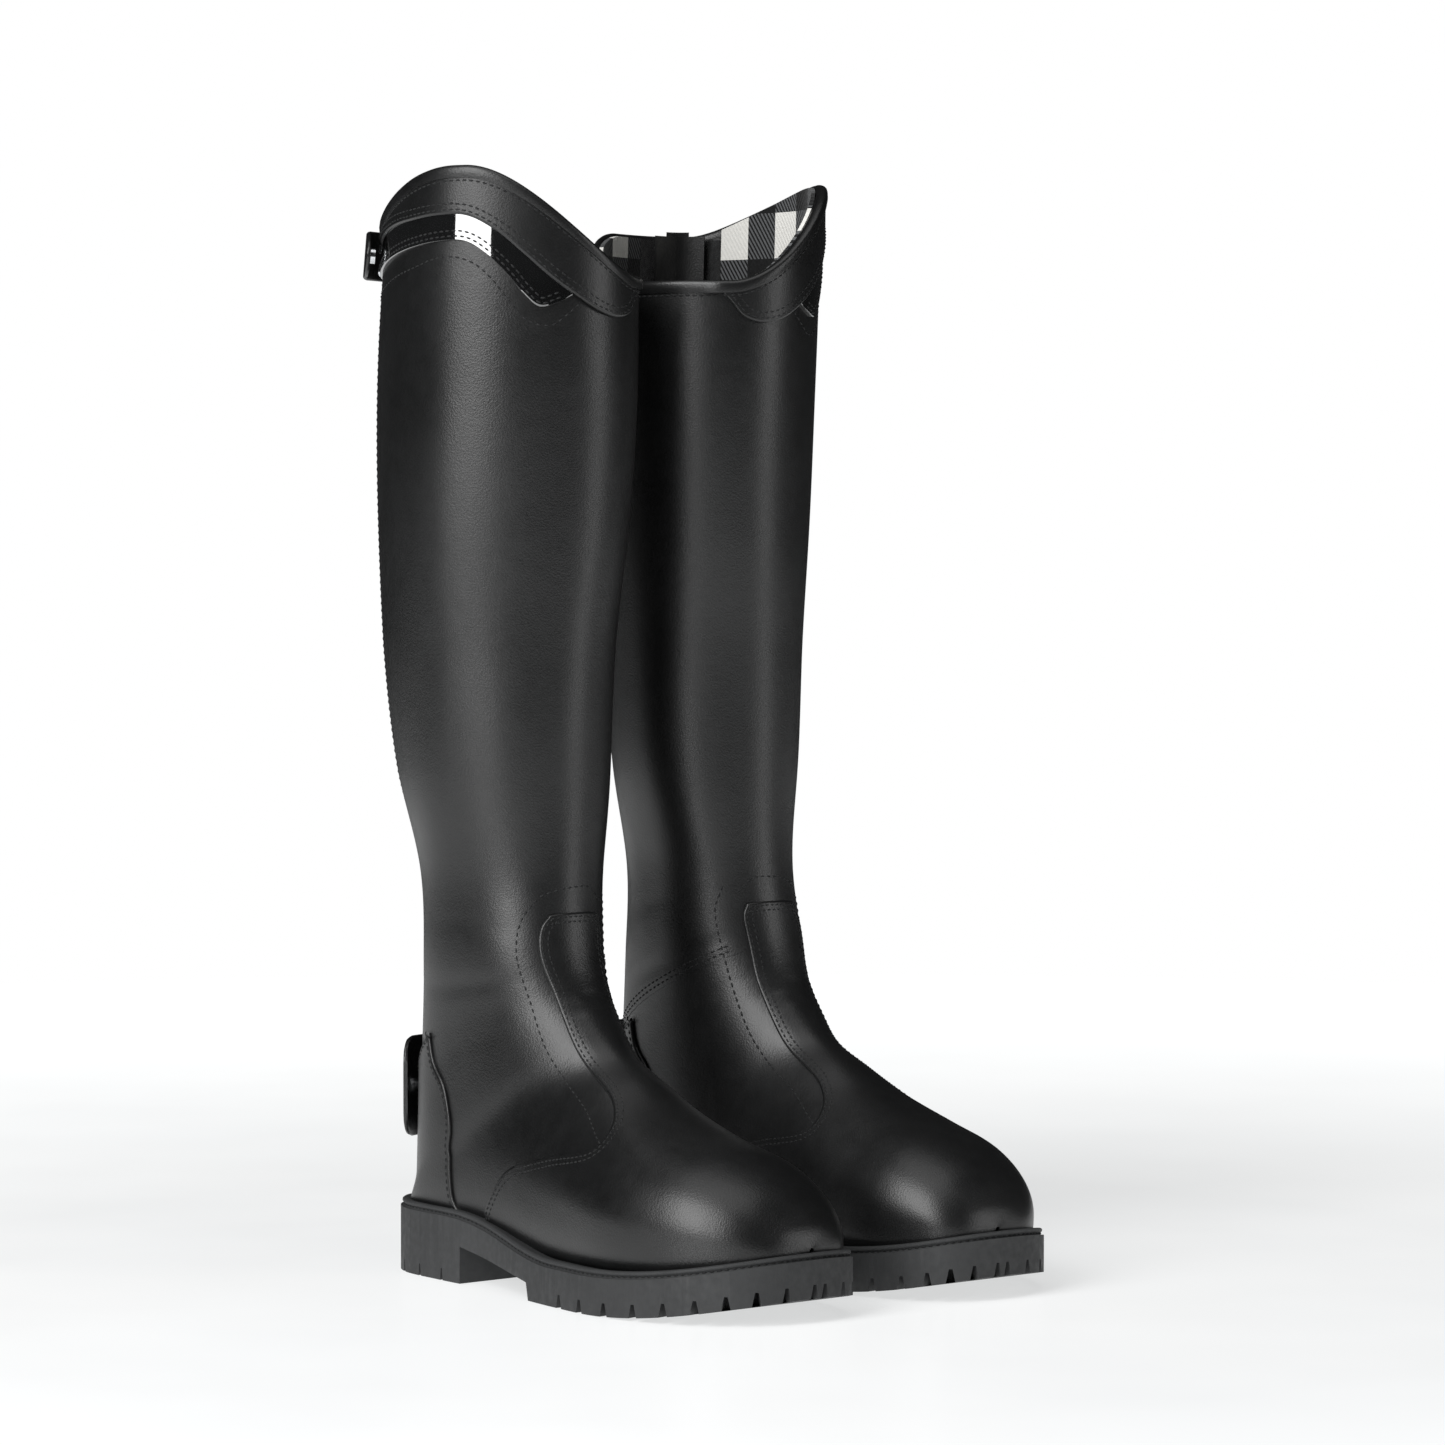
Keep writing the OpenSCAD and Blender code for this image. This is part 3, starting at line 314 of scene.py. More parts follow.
VAMP_EDGE = ([[6.57, 20], [6.85, 26], [7.7, 25.5], [8.6, 24], [9.5, 24], [10.4, 24.6], [11.3, 28],
              [11.85, 38], [11.95, 55], [11.2, 72], [10.75, 84], [10.73, 96]]
             + [[t, feather(t, 0.8)] for t in (10.9, 11.6, 12.5, 13.4, 14.3, 15.2, 16)]
             + [[16.6, 122], [17, 128]])
VAMP_MIDDLE = [[m] for m in (6.55, 6.85, 7.7, 8.6, 9.5, 10.4, 11.3, 11.95, 12.4, 12.8, 13.1, 13.4,
                             13.7, 14.1, 14.6, 15, 15.4, 15.9, 16.3, 16.65, 17)]
COUNTER_UPPER = [[7.8, 113], [7.95, 135], [8.15, 155], [8.6, 170], [8.7, 180], [8.6, 190],
                 [8.15, 205], [7.95, 225], [7.8, 247]]
COUNTER_LOWER = ([[10.5, feather(10.5, 0.8)]]
                 + [[heel_station(a, 0.8), a] for a in (120, 135, 150, 180, 210, 225, 240)]
                 + [[10.5, 360 - feather(10.5, 0.8)]])
COUNTER_BOW = (0, -6, -18, -23.5, -24.5, -24, -23, -17, -2)
PANEL_STITCH = [[6.37, -20], [6.21, -7], [6.2, 7], [6.24, 20], [6.33, 32], [6.61, 41], [7.02, 43.5],
                [7.6, 42.5], [8.11, 41], [9, 38.5], [9.98, 37], [11, 41.5], [11.9, 48.5]]
PLAID_EDGE = 146.0


def tongue_lean(t):
    return 2 * ease((8.2 - t) / 1.4)


# ---- meshes ----

def world(points, side):
    """Boot coordinates in millimetres to the frame, in metres."""
    p = np.asarray(points, float)
    x = side * (SPACING / 2 + p[..., 1])
    return np.stack([x, CENTRE_Y - p[..., 0], p[..., 2]], -1) / 1000


def side_name(side):
    return "left" if side > 0 else "right"


def new_piece(name, side, points, faces, material, body, nodes=(), uv=None, smooth=40):
    """A mesh piece of one boot, riding on that boot's body."""
    label = side_name(side)
    mesh = bpy.data.meshes.new(f"{name}_{label}")
    quads = [tuple(reversed(f)) for f in faces] if side < 0 else [tuple(f) for f in faces]
    mesh.from_pydata([tuple(p) for p in world(points, side)], [], quads)
    mesh.validate()
    if uv is not None:
        store = mesh.uv_layers.new(name="cloth")
        index = np.empty(len(mesh.loops), int)
        mesh.loops.foreach_get("vertex_index", index)
        store.data.foreach_set("uv", np.asarray(uv, float)[index].ravel())
    mesh.polygons.foreach_set("use_smooth", np.ones(len(mesh.polygons), bool))
    mesh.set_sharp_from_angle(angle=math.radians(smooth))
    mesh.materials.append(MATERIALS[material])
    piece = bpy.data.objects.new(f"look_{name}_{label}", mesh)
    bpy.context.scene.collection.objects.link(piece)
    if body is not None:
        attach(piece, f"{label}_{body}")
    if nodes:
        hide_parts(*[f"{n}_{label}" for n in nodes])
    return piece


def grid_faces(rows, cols, start=0, flip=False):
    i, j = np.meshgrid(np.arange(rows - 1), np.arange(cols - 1), indexing="ij")
    a = start + i * cols + j
    q = np.stack([a, a + cols, a + cols + 1, a + 1], -1).reshape(-1, 4)
    return (q[:, ::-1] if flip else q).tolist()


def shell(outer, inner):
    """Closed shell between two matching grids of points."""
    rows, cols = outer.shape[:2]
    n = rows * cols
    points = np.concatenate([outer.reshape(-1, 3), inner.reshape(-1, 3)])
    rim = ([(i, 0) for i in range(rows)] + [(rows - 1, j) for j in range(1, cols)]
           + [(i, cols - 1) for i in range(rows - 2, -1, -1)]
           + [(0, j) for j in range(cols - 2, 0, -1)])
    ring = [i * cols + j for i, j in rim]
    faces = grid_faces(rows, cols) + grid_faces(rows, cols, n, True)
    for k, a in enumerate(ring):
        b = ring[(k + 1) % len(ring)]
        faces.append((b, a, a + n, b + n))
    return points, faces


def with_borders(t, a, width, sides):
    """Adds lines close to the chosen borders (top, bottom, first, last)."""
    for axis in (0, 1):
        p = form(t, a)
        gap = np.linalg.norm(np.diff(p, axis=axis), axis=-1).mean(axis=1 - axis)
        n = t.shape[axis]
        near = [width / gap[0] * f for f in (0.12, 0.4, 1)] if sides[2 * axis] else []
        far = [n - 1 - width / gap[-1] * f for f in (1, 0.4, 0.12)] if sides[2 * axis + 1] else []
        spots = np.unique(np.clip(np.concatenate([near, far, np.arange(n)]), 0, n - 1))
        i = np.minimum(spots.astype(int), n - 2)
        f = spots - i
        f = f.reshape((-1, 1) if axis == 0 else (1, -1))
        take = lambda q: np.take(q, i, axis) * (1 - f) + np.take(q, i + 1, axis) * f
        t, a = take(t), take(a)
    return t, a


def border_distance(t, a, sides):
    p = form(t, a)
    away = np.full(t.shape, 1e3)
    for axis in (0, 1):
        step = np.linalg.norm(np.diff(p, axis=axis), axis=-1)
        zero = np.zeros_like(np.take(step, [0], axis))
        run = np.concatenate([zero, np.cumsum(step, axis)], axis)
        total = np.take(run, [-1], axis)
        if sides[2 * axis]:
            away = np.minimum(away, run)
        if sides[2 * axis + 1]:
            away = np.minimum(away, total - run)
    return away


def relief(t, a):
    """Slow hollows and creases of worn-in leather, in millimetres."""
    x, y = np.radians(a), t
    soft = 0.35 * np.sin(2.1 * x + 1.3 * y) + 0.25 * np.sin(3.3 * x - 1.9 * y + 1)
    soft = soft * np.exp(-((y - 4) / 3.2) ** 2)
    front = np.exp(-((y - 8.35) / 0.5) ** 2) * np.exp(-(a / 26) ** 2)
    crease = -0.35 * front * np.maximum(0, np.sin(14 * y + 2.2 * np.sin(3 * x))) ** 3
    flank = np.exp(-((y - 7.3) / 0.7) ** 2) * np.exp(-((np.abs(a) - 75) / 32) ** 2)
    fold = -0.45 * flank * np.maximum(0, np.sin(7.5 * y + 1.8 * x)) ** 2
    return soft + crease + fold


def leather_skin(t, a, inner, outer, sides, width):
    """A leather panel whose chosen borders are rounded over a width."""
    t, a = with_borders(t, a, width, sides)
    away = np.clip(border_distance(t, a, sides) / width, 0, 1)
    curve = np.sqrt(np.maximum(0, 1 - (1 - away) ** 2))
    lift = relief(t, a)
    rounded = inner + (outer - inner) * (0.25 + 0.75 * curve)
    return shell(layer(t, a, rounded + lift), layer(t, a, inner + lift))


BAND_OUT, CUFF_OUT, PANEL_OUT = 1.3, 2.6, 1.5


def main_grid():
    upper = [[float(calf_t(top_line(a) + 1)), a] for a in MAIN_ANGLES]
    t, a = between(upper, MAIN_LOWER, 130, 170, 0.45)
    return along_slot(t, a, True, True)


def quarter_grid():
    upper = resample([np.add(inner_seam(k), [-0.05, 0]) for k in range(10)], 60)
    lower = resample([[12.25, -50], [11.95, -66], [11.1, -80], [11.05, -95],
                      [10.7, -feather(10.7, 1.2)], [10.3, -feather(10.3, 1.2)]]
                     + [[heel_station(-a, 1.2), -a] for a in (128, 140, 152, 164, 176)], 60)
    bow = resample([[7.22, -24], [7.7, -20.5], [8.6, -19.5], [10.6, -22], [12, -36], [12.25, -50]], 50)
    f = np.linspace(0, 1, 51)[:, None, None]
    grid = upper + (lower - upper) * f
    grid = grid + (bow - grid[:, 0])[:, None] * ((1 - np.arange(61) / 60) ** 2)[None, :, None]
    return along_slot(grid[..., 0], grid[..., 1], False, True)


def vamp_grid():
    edges, middles = resample(VAMP_EDGE, 150), resample(VAMP_MIDDLE, 150)
    share = np.linspace(-1, 1, 81)
    t = middles + (edges[:, :1] - middles) * np.abs(share) ** 3
    return t, edges[:, 1:] * share + tongue_lean(t)


def counter_grid():
    t, a = between(COUNTER_UPPER, COUNTER_LOWER, 40, 96)
    side = 1 - 2 * np.arange(97) / 96
    bow = resample([[b] for b in COUNTER_BOW], 40) * np.abs(side) ** 1.6
    return t, a + bow * np.sign(side)


def cuff_grid():
    upper = [[float(calf_t(top_line(a) + 0.6)), a] for a, _ in CUFF_EDGE]
    return between(upper, edge(CUFF_EDGE), 16, 130)


def band_grid():
    return between(edge(BAND_TUCK, 6), edge(BAND_EDGE), 16, 120)


def border(t, a, which):
    """One border of a grid as a list of [station, angle]."""
    lines = {"top": (t[0], a[0]), "bottom": (t[-1], a[-1]),
             "first": (t[:, 0], a[:, 0]), "last": (t[:, -1], a[:, -1])}
    return np.stack(lines[which], -1)


# ---- thread ----

def shifted(path, distance):
    """A path moved sideways over the surface; positive is to its right seen from outside."""
    p = form(path[:, 0], path[:, 1])
    run = unit(np.gradient(p, axis=0))
    sideways = np.cross(run, outward(path[:, 0], path[:, 1])) * distance
    down, around = slopes(path[:, 0], path[:, 1])
    g11, g12, g22 = (down ** 2).sum(-1), (down * around).sum(-1), (around ** 2).sum(-1)
    b1, b2 = (down * sideways).sum(-1), (around * sideways).sum(-1)
    det = np.maximum(g11 * g22 - g12 ** 2, 1e-6)
    move = np.stack([(b1 * g22 - b2 * g12) / det, (b2 * g11 - b1 * g12) / det], -1)
    return path + move


def even(points, pitch):
    """Positions along a polyline, pitch apart, as fractional indices."""
    length = np.concatenate([[0], np.cumsum(np.linalg.norm(np.diff(points, axis=0), axis=1))])
    count = max(2, int(length[-1] / pitch))
    return np.interp(np.linspace(0, length[-1], count + 1), length, np.arange(len(points)))


def pick(table, spots):
    i = np.minimum(spots.astype(int), len(table) - 2)
    f = (spots - i)[:, None]
    return table[i] * (1 - f) + table[i + 1] * f


STITCH_SIDES, THREAD_LIFT = 6, 0.1
STITCH_RINGS = [(-0.5, 0.35), (-0.38, 0.85), (0, 1.0), (0.38, 0.85), (0.5, 0.35)]


def stitch_mesh(centres, runs, normals, length, radius):
    """One small crowned stitch at each centre."""
    across = unit(np.cross(normals, runs))
    points, faces = [], []
    for c, r, n, s in zip(centres, runs, normals, across):
        base = len(points)
        for place, size in STITCH_RINGS:
            dip = -0.9 * radius * (2 * place) ** 2
            for k in range(STITCH_SIDES):
                w = 2 * math.pi * k / STITCH_SIDES
                points.append(c + r * place * length + n * (radius * size * math.sin(w) * 0.8 + dip)
                              + s * radius * size * math.cos(w))
        faces += ring_faces(base, len(STITCH_RINGS), STITCH_SIDES)
    return np.array(points), faces


def ring_faces(base, rings, sides):
    faces = []
    for i in range(rings - 1):
        for k in range(sides):
            a, b = base + i * sides + k, base + i * sides + (k + 1) % sides
            faces.append((a, b, b + sides, a + sides))
    faces.append(tuple(range(base + sides - 1, base - 1, -1)))
    faces.append(tuple(base + (rings - 1) * sides + k for k in range(sides)))
    return faces


def stitch_row(path, offset, pitch=3.3, length=2.5, radius=0.42, trim=0):
    path = np.asarray(path, float)
    offset = offset + relief(path[:, 0], path[:, 1])
    points = layer(path[:, 0], path[:, 1], offset)
    spots = even(points, pitch)
    spots = spots[trim:len(spots) - trim]
    centres = pick(points, spots)
    runs = unit(pick(np.gradient(points, axis=0), spots))
    place = pick(path, spots)
    return stitch_mesh(centres, runs, outward(place[:, 0], place[:, 1]), length, radius)


def join(parts):
    points, faces, start = [], [], 0
    for p, f in parts:
        points.append(p)
        faces += [tuple(k + start for k in face) for face in f]
        start += len(p)
    return np.concatenate(points), faces


def vamp_stitch_path():
    t, a = vamp_grid()
    stop = int(11.9 / (len(VAMP_EDGE) - 1) * 150)
    inner, outer = border(t, a, "first")[:stop], border(t, a, "last")[:stop]
    top = border(t, a, "top")
    return np.concatenate([inner[::-1], top[1:-1], outer])


def line_below(angles):
    """Path a little below the top line."""
    return np.stack([calf_t(top_line(angles) - 4.6), angles], -1)


def leather_threads():
    """All the sewing of one boot's upper."""
    t, a = cuff_grid()
    low = border(t, a, "bottom")
    rows = [stitch_row(shifted(low, d), CUFF_OUT + THREAD_LIFT, trim=1) for d in (2.0, 4.6)]
    t, a = band_grid()
    low = border(t, a, "bottom")
    rows += [stitch_row(shifted(low, d), BAND_OUT + THREAD_LIFT, trim=2) for d in (1.8, 4.2)]
    rows += [stitch_row(line_below(np.linspace(SLOT_TOP - 1, -7, 150)), CUFF_OUT + THREAD_LIFT),
             stitch_row(line_below(np.linspace(-12, -SLOT_TOP + 1, 90)), 0.15)]
    for table in (edge(SHAFT_STITCH), PANEL_STITCH, [[t, -a] for t, a in PANEL_STITCH[4:]]):
        rows.append(stitch_row(resample(table, 120), THREAD_LIFT, pitch=3.6))
    path = vamp_stitch_path()
    rows += [stitch_row(shifted(path, d), PANEL_OUT + THREAD_LIFT, pitch=2.9, length=2.2)
             for d in (1.9, 4.3)]
    t, a = counter_grid()
    rows += [stitch_row(shifted(border(t, a, which), d), PANEL_OUT + THREAD_LIFT)
             for which, d in (("first", -2.6), ("last", 2.6), ("top", 2.2))]
    seam = resample([inner_seam(k) for k in range(10)], 120)
    rows += [stitch_row(shifted(seam, d), 0.12, trim=2) for d in (2.2, 4.6)]
    stations = np.linspace(1.0, 8.4, 240)
    beside_zip = zip_angle(stations, SLOT_HALF + 2.6)
    rows += [stitch_row(np.stack([stations, way * beside_zip], -1), THREAD_LIFT) for way in (1, -1)]
    return join(rows)


# ---- sole ----

SOLE = np.array([
    [-HEEL_REACH, 0], [-HEEL_REACH + 5, HEEL_HALF * 0.58], [-HEEL_REACH + 24, HEEL_HALF * 0.93],
    [0, HEEL_HALF + 1.5], [fu(0.17), HEEL_HALF + 4], [fu(0.33), BALL_OUTER - 8],
    [fu(0.47), BALL_OUTER - 3], [fu(0.62), BALL_OUTER], [fu(0.77), BALL_OUTER - 5],
    [fu(0.895), BALL_OUTER - 17], [fu(0.975), BALL_OUTER - 36.5], [TOE_REACH, -6],
    [fu(0.975), 20.5 - BALL_INNER], [fu(0.895), 8 - BALL_INNER], [fu(0.76), 1 - BALL_INNER],
    [fu(0.62), -BALL_INNER], [fu(0.47), 3 - BALL_INNER], [fu(0.33), 7 - BALL_INNER],
    [fu(0.17), -HEEL_HALF], [0, -HEEL_HALF], [-HEEL_REACH + 24, HEEL_HALF * -0.91],
    [-HEEL_REACH + 5, HEEL_HALF * -0.56]])
BREAST_U, TREAD_U, ARCH_Z = HEEL_L - HEEL_REACH, fu(0.37), HEEL_T * 0.57


def sole_spot(k):
    k = np.asarray(k, float) % len(SOLE)
    n, i = len(SOLE), np.floor(k).astype(int)
    f = (k - i)[..., None]
    return glide(SOLE[(i - 1) % n], SOLE[i % n], SOLE[(i + 1) % n], SOLE[(i + 2) % n], f)


def sole_normal(k):
    d = sole_spot(k + 0.02) - sole_spot(k - 0.02)
    return unit(np.stack([-d[..., 1], d[..., 0]], -1))


def sole_outline(inset, steps):
    k = np.arange(len(SOLE) * steps) / steps
    return sole_spot(k) - inset * sole_normal(k)


def prism_faces(n):
    """Faces of a closed prism whose two ends have n points each."""
    return ([tuple(range(n)), tuple(range(2 * n - 1, n - 1, -1))]
            + [(k, k + n, (k + 1) % n + n, (k + 1) % n) for k in range(n)])


def prism(plan, low, high):
    """Closed prism of a plan polygon between two heights."""
    return [(p[0], p[1], z) for z in (low, high) for p in plan], prism_faces(len(plan))


def raw_object(name, points, faces):
    mesh = bpy.data.meshes.new(name)
    mesh.from_pydata([tuple(map(float, p)) for p in points], [], faces)
    work = bmesh.new()
    work.from_mesh(mesh)
    bmesh.ops.recalc_face_normals(work, faces=work.faces)
    work.to_mesh(mesh)
    work.free()
    obj = bpy.data.objects.new(name, mesh)
    bpy.context.scene.collection.objects.link(obj)
    return obj


def cut(obj, tool, operation):
    step = obj.modifiers.new("cut", "BOOLEAN")
    step.operation, step.solver, step.object = operation, "EXACT", tool
    bake(obj)
    bpy.data.objects.remove(tool, do_unlink=True)


def bake(obj):
    """Replaces an object's mesh by what its modifiers make of it."""
    graph = bpy.context.evaluated_depsgraph_get()
    mesh = bpy.data.meshes.new_from_object(obj.evaluated_get(graph))
    obj.modifiers.clear()
    obj.data = mesh


def side_cut(low, high):
    """Prism across the sole from a side view polygon of (u, z)."""
    outline = list(low) + list(reversed(high))
    return [(u, v, z) for v in (-90.0, 90.0) for u, z in outline], prism_faces(len(outline))


def height_line(lift, steps=90):
    u = np.linspace(-HEEL_REACH - 1, TOE_REACH + 1, steps)
    return list(zip(u, sole_top(u) + lift))


def floor_line():
    tread = [(u, float(spring_at(u))) for u in np.linspace(fu(0.6), TOE_REACH + 1, 30)]
    return [(-HEEL_REACH - 1, 0), (BREAST_U, 0), (BREAST_U, ARCH_Z), (TREAD_U - 2, ARCH_Z * 0.47),
            (TREAD_U, 0)] + tread


def lug_tool(places, width, height, depth):
    """All the notches of one kind as one object."""
    parts = []
    for k in places:
        spot, inward = sole_spot(k), -sole_normal(k)
        run = np.array([-inward[1], inward[0]])
        base = float(spring_at(spot[0]))
        points = []
        for reach in (-2.0, depth):
            middle = spot + inward * reach
            for w, z in ((-0.6, -1), (0.6, -1), (0.2, height), (-0.2, height)):
                p = middle + run * w * width
                points.append((p[0], p[1], base + z))
        parts.append((np.array(points), prism_faces(4)))
    return join(parts)


# Places of the notches along one side of the outline; the other side mirrors them
LUGS = [6.2 + 0.52 * k for k in range(10)]
HEEL_NICKS = [1.95, 2.5, 3.05]


def both_edges(places):
    return places + [len(SOLE) - k for k in places]


def sole_shape():
    sole = raw_object("sole_work", *prism(sole_outline(0, 20), -1, 60))
    cut(sole, raw_object("tool", *side_cut(floor_line(), height_line(0))), "INTERSECT")
    for places, width, height, depth in ((LUGS, LUG_GAP + 1, LUG_H + 1.5, 12),
                                         (HEEL_NICKS, LUG_GAP * 0.7, LUG_H + 1, 5)):
        tool = lug_tool(both_edges(places), width, height, depth)
        cut(sole, raw_object("tool", *tool), "DIFFERENCE")
    step = sole.modifiers.new("round", "BEVEL")
    step.width, step.segments, step.limit_method = 0.45, 2, "ANGLE"
    step.angle_limit, step.use_clamp_overlap = math.radians(35), True
    bake(sole)
    return taken(sole)


def footbed_shape():
    bed = raw_object("bed_work", *prism(sole_outline(16, 5), 0, 60))
    cut(bed, raw_object("tool", *side_cut(height_line(3.0), height_line(6.6))), "INTERSECT")
    return taken(bed)


def taken(obj):
    """A work object's points and faces; the object itself is removed."""
    points = np.array([v.co[:] for v in obj.data.vertices])
    faces = [tuple(p.vertices) for p in obj.data.polygons]
    bpy.data.objects.remove(obj, do_unlink=True)
    return points, faces


WELT_PROFILE = [(0.9, -0.1), (1.4, 0.25), (1.75, 0.8), (1.6, 1.25), (1.1, 1.6), (0.8, 2.2),
                (0.95, 2.9), (1.5, 3.35), (2.4, 3.5), (3.6, 3.3), (5.0, 2.9), (7.2, 2.7), (7.2, -0.1)]


def welt_shape():
    k = np.arange(len(SOLE) * 20) / 20
    spot, out = sole_spot(k), sole_normal(k)
    rings = []
    for inset, lift in WELT_PROFILE:
        plan = spot - inset * out
        rings.append(np.column_stack([plan, sole_top(plan[:, 0]) + lift]))
    grid = np.stack(rings)
    rows, cols = grid.shape[:2]
    faces = []
    for i in range(rows):
        for j in range(cols):
            a, b = i * cols + j, i * cols + (j + 1) % cols
            c, d = ((i + 1) % rows) * cols + (j + 1) % cols, ((i + 1) % rows) * cols + j
            faces.append((a, b, c, d))
    return grid.reshape(-1, 3), faces


def welt_threads():
    k = np.linspace(0, len(SOLE), 2000)
    plan = sole_spot(k) - 1.55 * sole_normal(k)
    points = np.column_stack([plan, sole_top(plan[:, 0]) + 0.95])
    spots = even(points, 3.4)[:-1]
    normals = np.column_stack([pick(sole_normal(k), spots), np.full(len(spots), 0.35)])
    runs = unit(pick(np.gradient(points, axis=0), spots))
    return stitch_mesh(pick(points, spots), runs, unit(normals), 2.4, 0.38)


# ---- zip, tabs and studs ----

TAPE_OUT, TEETH_TOP = -LEATHER_T - 0.6, BACK_LINE - 0.6


def zip_frame(t):
    """Middle, downward run, sideways and outward directions of the zip at stations."""
    t = np.asarray(t, float)
    turn = np.radians(row_at(t)[..., 10])
    run = unit(form(t + 0.02, 180.0) - form(t - 0.02, 180.0))
    side = np.stack([np.sin(turn), np.cos(turn), np.zeros_like(turn)], -1)
    return form(t, 180.0), run, side, unit(np.cross(side, run))


BLOCK = [(-1, -1, -1), (1, -1, -1), (1, 1, -1), (-1, 1, -1),
         (-0.8, -0.85, 1), (0.8, -0.85, 1), (0.8, 0.85, 1), (-0.8, 0.85, 1)]
BLOCK_FACES = [(3, 2, 1, 0), (4, 5, 6, 7), (0, 1, 5, 4), (1, 2, 6, 5), (2, 3, 7, 6), (3, 0, 4, 7)]


def teeth_shape():
    st = np.linspace(float(calf_t(TEETH_TOP)), ZIP_END, 900)
    middle, run, side, out = zip_frame(st)
    spots = even(middle, 1.7)
    parts = []
    for m, r, s, o in zip(*(pick(table, spots) for table in (middle, run, side, out))):
        for way in (1, -1):
            c = m + s * way * 1.5 + o * -1.05 + r * (0.42 * way)
            points = np.array([c + s * x * 1.45 + r * y * 0.62 + o * z * 1.15 for x, y, z in BLOCK])
            parts.append((points, BLOCK_FACES))
    return join(parts)


def strip_grid(low, high, top, bottom, rows, cols):
    st = np.linspace(top, bottom, rows)[:, None]
    across = np.linspace(low, high, cols)[None, :]
    angle = zip_angle(st, np.abs(across) + 1e-4)
    signed = np.where(across < 0, -angle, angle)
    signed = np.where(signed < 0, signed + 360, signed)
    return np.broadcast_to(st, signed.shape).copy(), signed


def calf_share(y):
    share = 1.0
    for _ in range(9):
        share = max(0.0, 1 - (y / (CALF_SIDE * (1 - POINTED * share))) ** 2)
    return share


def calf_spot(y):
    return np.array([-(CALF_BACK + CALF_FRONT) / 2 * (1 - math.sqrt(calf_share(y))), y])


def calf_out(y):
    d = calf_spot(y - 0.5) - calf_spot(y + 0.5)
    return unit(np.array([-d[1], d[0]]))


def at_calf(y, lift):
    return calf_spot(y) + lift * calf_out(y)


def at_zip(z, points):
    """Points with x out of the boot, y to the inner side and z along the zip."""
    p = np.asarray(points, float)
    tilt, turn = math.asin((z - CALF_H) / BACK_R), math.radians(SHAFT_TURN)
    out = (BACK_R + p[..., 0]) * math.cos(tilt) - p[..., 2] * math.sin(tilt)
    high = CALF_H + (BACK_R + p[..., 0]) * math.sin(tilt) + p[..., 2] * math.cos(tilt)
    x, y = CALF_BACK + AXIS_U - BACK_R + out, p[..., 1]
    return np.stack([AXIS_U - x * math.cos(turn) - y * math.sin(turn),
                     x * math.sin(turn) - y * math.cos(turn), high], -1)


def at_heel(points):
    p = np.asarray(points, float)
    return np.stack([8 - HEEL_REACH - p[..., 0], -p[..., 1], HEEL_TAB_Z + p[..., 2]], -1)


# Heights of the top tab above the zip's own face: over the cuff, and over the stud
TAB_LIFT = 4.5
STUD_LIFT = TAB_LIFT + 0.8 + 0.3 + 1.4
ROOT_PATH = [at_calf(y, TAB_LIFT) for y in (30.6, 27, 23.5, 20.5, 17.8)]
TAB_PATH = [at_calf(HINGE_Y, TAB_LIFT), (TAB_OFF * 0.66, HINGE_Y - 0.5), (TAB_OFF, 7),
            (TAB_OFF + 0.6, -1), (TAB_OFF - 2.2, -10), at_calf(STUD_Y + 3, STUD_LIFT + 0.2),
            at_calf(STUD_Y, STUD_LIFT), at_calf(STUD_Y - 5, STUD_LIFT)]


def run_to_end(path):
    """Distance from each point of a path to its end."""
    run = np.concatenate([[0], np.cumsum(np.linalg.norm(np.diff(path, axis=0), axis=1))])
    return run[-1] - run


def strap(path, thickness, half_height, place):
    """Closed strap with rounded edges: path of (x, y), half height along it."""
    d = unit(np.gradient(path, axis=0))
    out = np.stack([-d[:, 1], d[:, 0]], -1)
    f = np.linspace(-1, 1, 25)
    f = np.sign(f) * (1 - (1 - np.abs(f)) ** 1.6)
    half = half_height[:, None] * f[None, :]
    edge_gap = np.minimum(1, (half_height[:, None] - np.abs(half)) / 0.9)
    round_in = thickness * 0.5 * (1 - np.sqrt(np.maximum(0, 1 - (1 - edge_gap) ** 2)))
    sheets = []
    for low in (False, True):
        depth = round_in if low else thickness - round_in
        xy = path[:, None, :] + out[:, None, :] * depth[..., None]
        sheets.append(np.dstack([xy, half]))
    return shell(place(sheets[1]), place(sheets[0]))


def top_strap_shape():
    root, tab = resample(ROOT_PATH, 24), resample(TAB_PATH, 80)
    bend = np.linspace(0, 1, 9)[1:-1, None]
    a, b = root[-1], tab[2]
    corner = np.array(at_calf(HINGE_Y + 2.4, TAB_LIFT + 0.1))
    join_up = (1 - bend) ** 2 * a + 2 * bend * (1 - bend) * corner + bend ** 2 * b
    path = np.concatenate([root, join_up, tab[2:]])
    from_end = run_to_end(path)
    half = TAB_H / 2 * np.sqrt(np.clip(1 - (1 - np.minimum(from_end / 21, 1)) ** 2, 0.004, 1))
    return strap(path, TAB_T - 0.2, half, lambda p: at_zip(TAB_Z, p))


def heel_arc(radius, degrees):
    w = np.radians(degrees)
    return np.stack([HEEL_TAB_OFF - HEEL_TAB_R + radius * np.cos(w), radius * np.sin(w)], -1)


def heel_strap_shape():
    root = heel_arc(30.6, np.linspace(52, 37, 16))
    tab = heel_arc(33.2, np.linspace(31, -44, 70))
    path = np.concatenate([root, tab])
    from_end = run_to_end(path)
    taper = [(0, 13), (0.6, 16), (1.6, 18.6), (3, 20.6), (5.5, 22.6), (9.8, 23.8), (70, 23.8)]
    half = np.interp(from_end, [p[0] for p in taper], [p[1] for p in taper])
    return strap(path, TAB_T, half, at_heel)


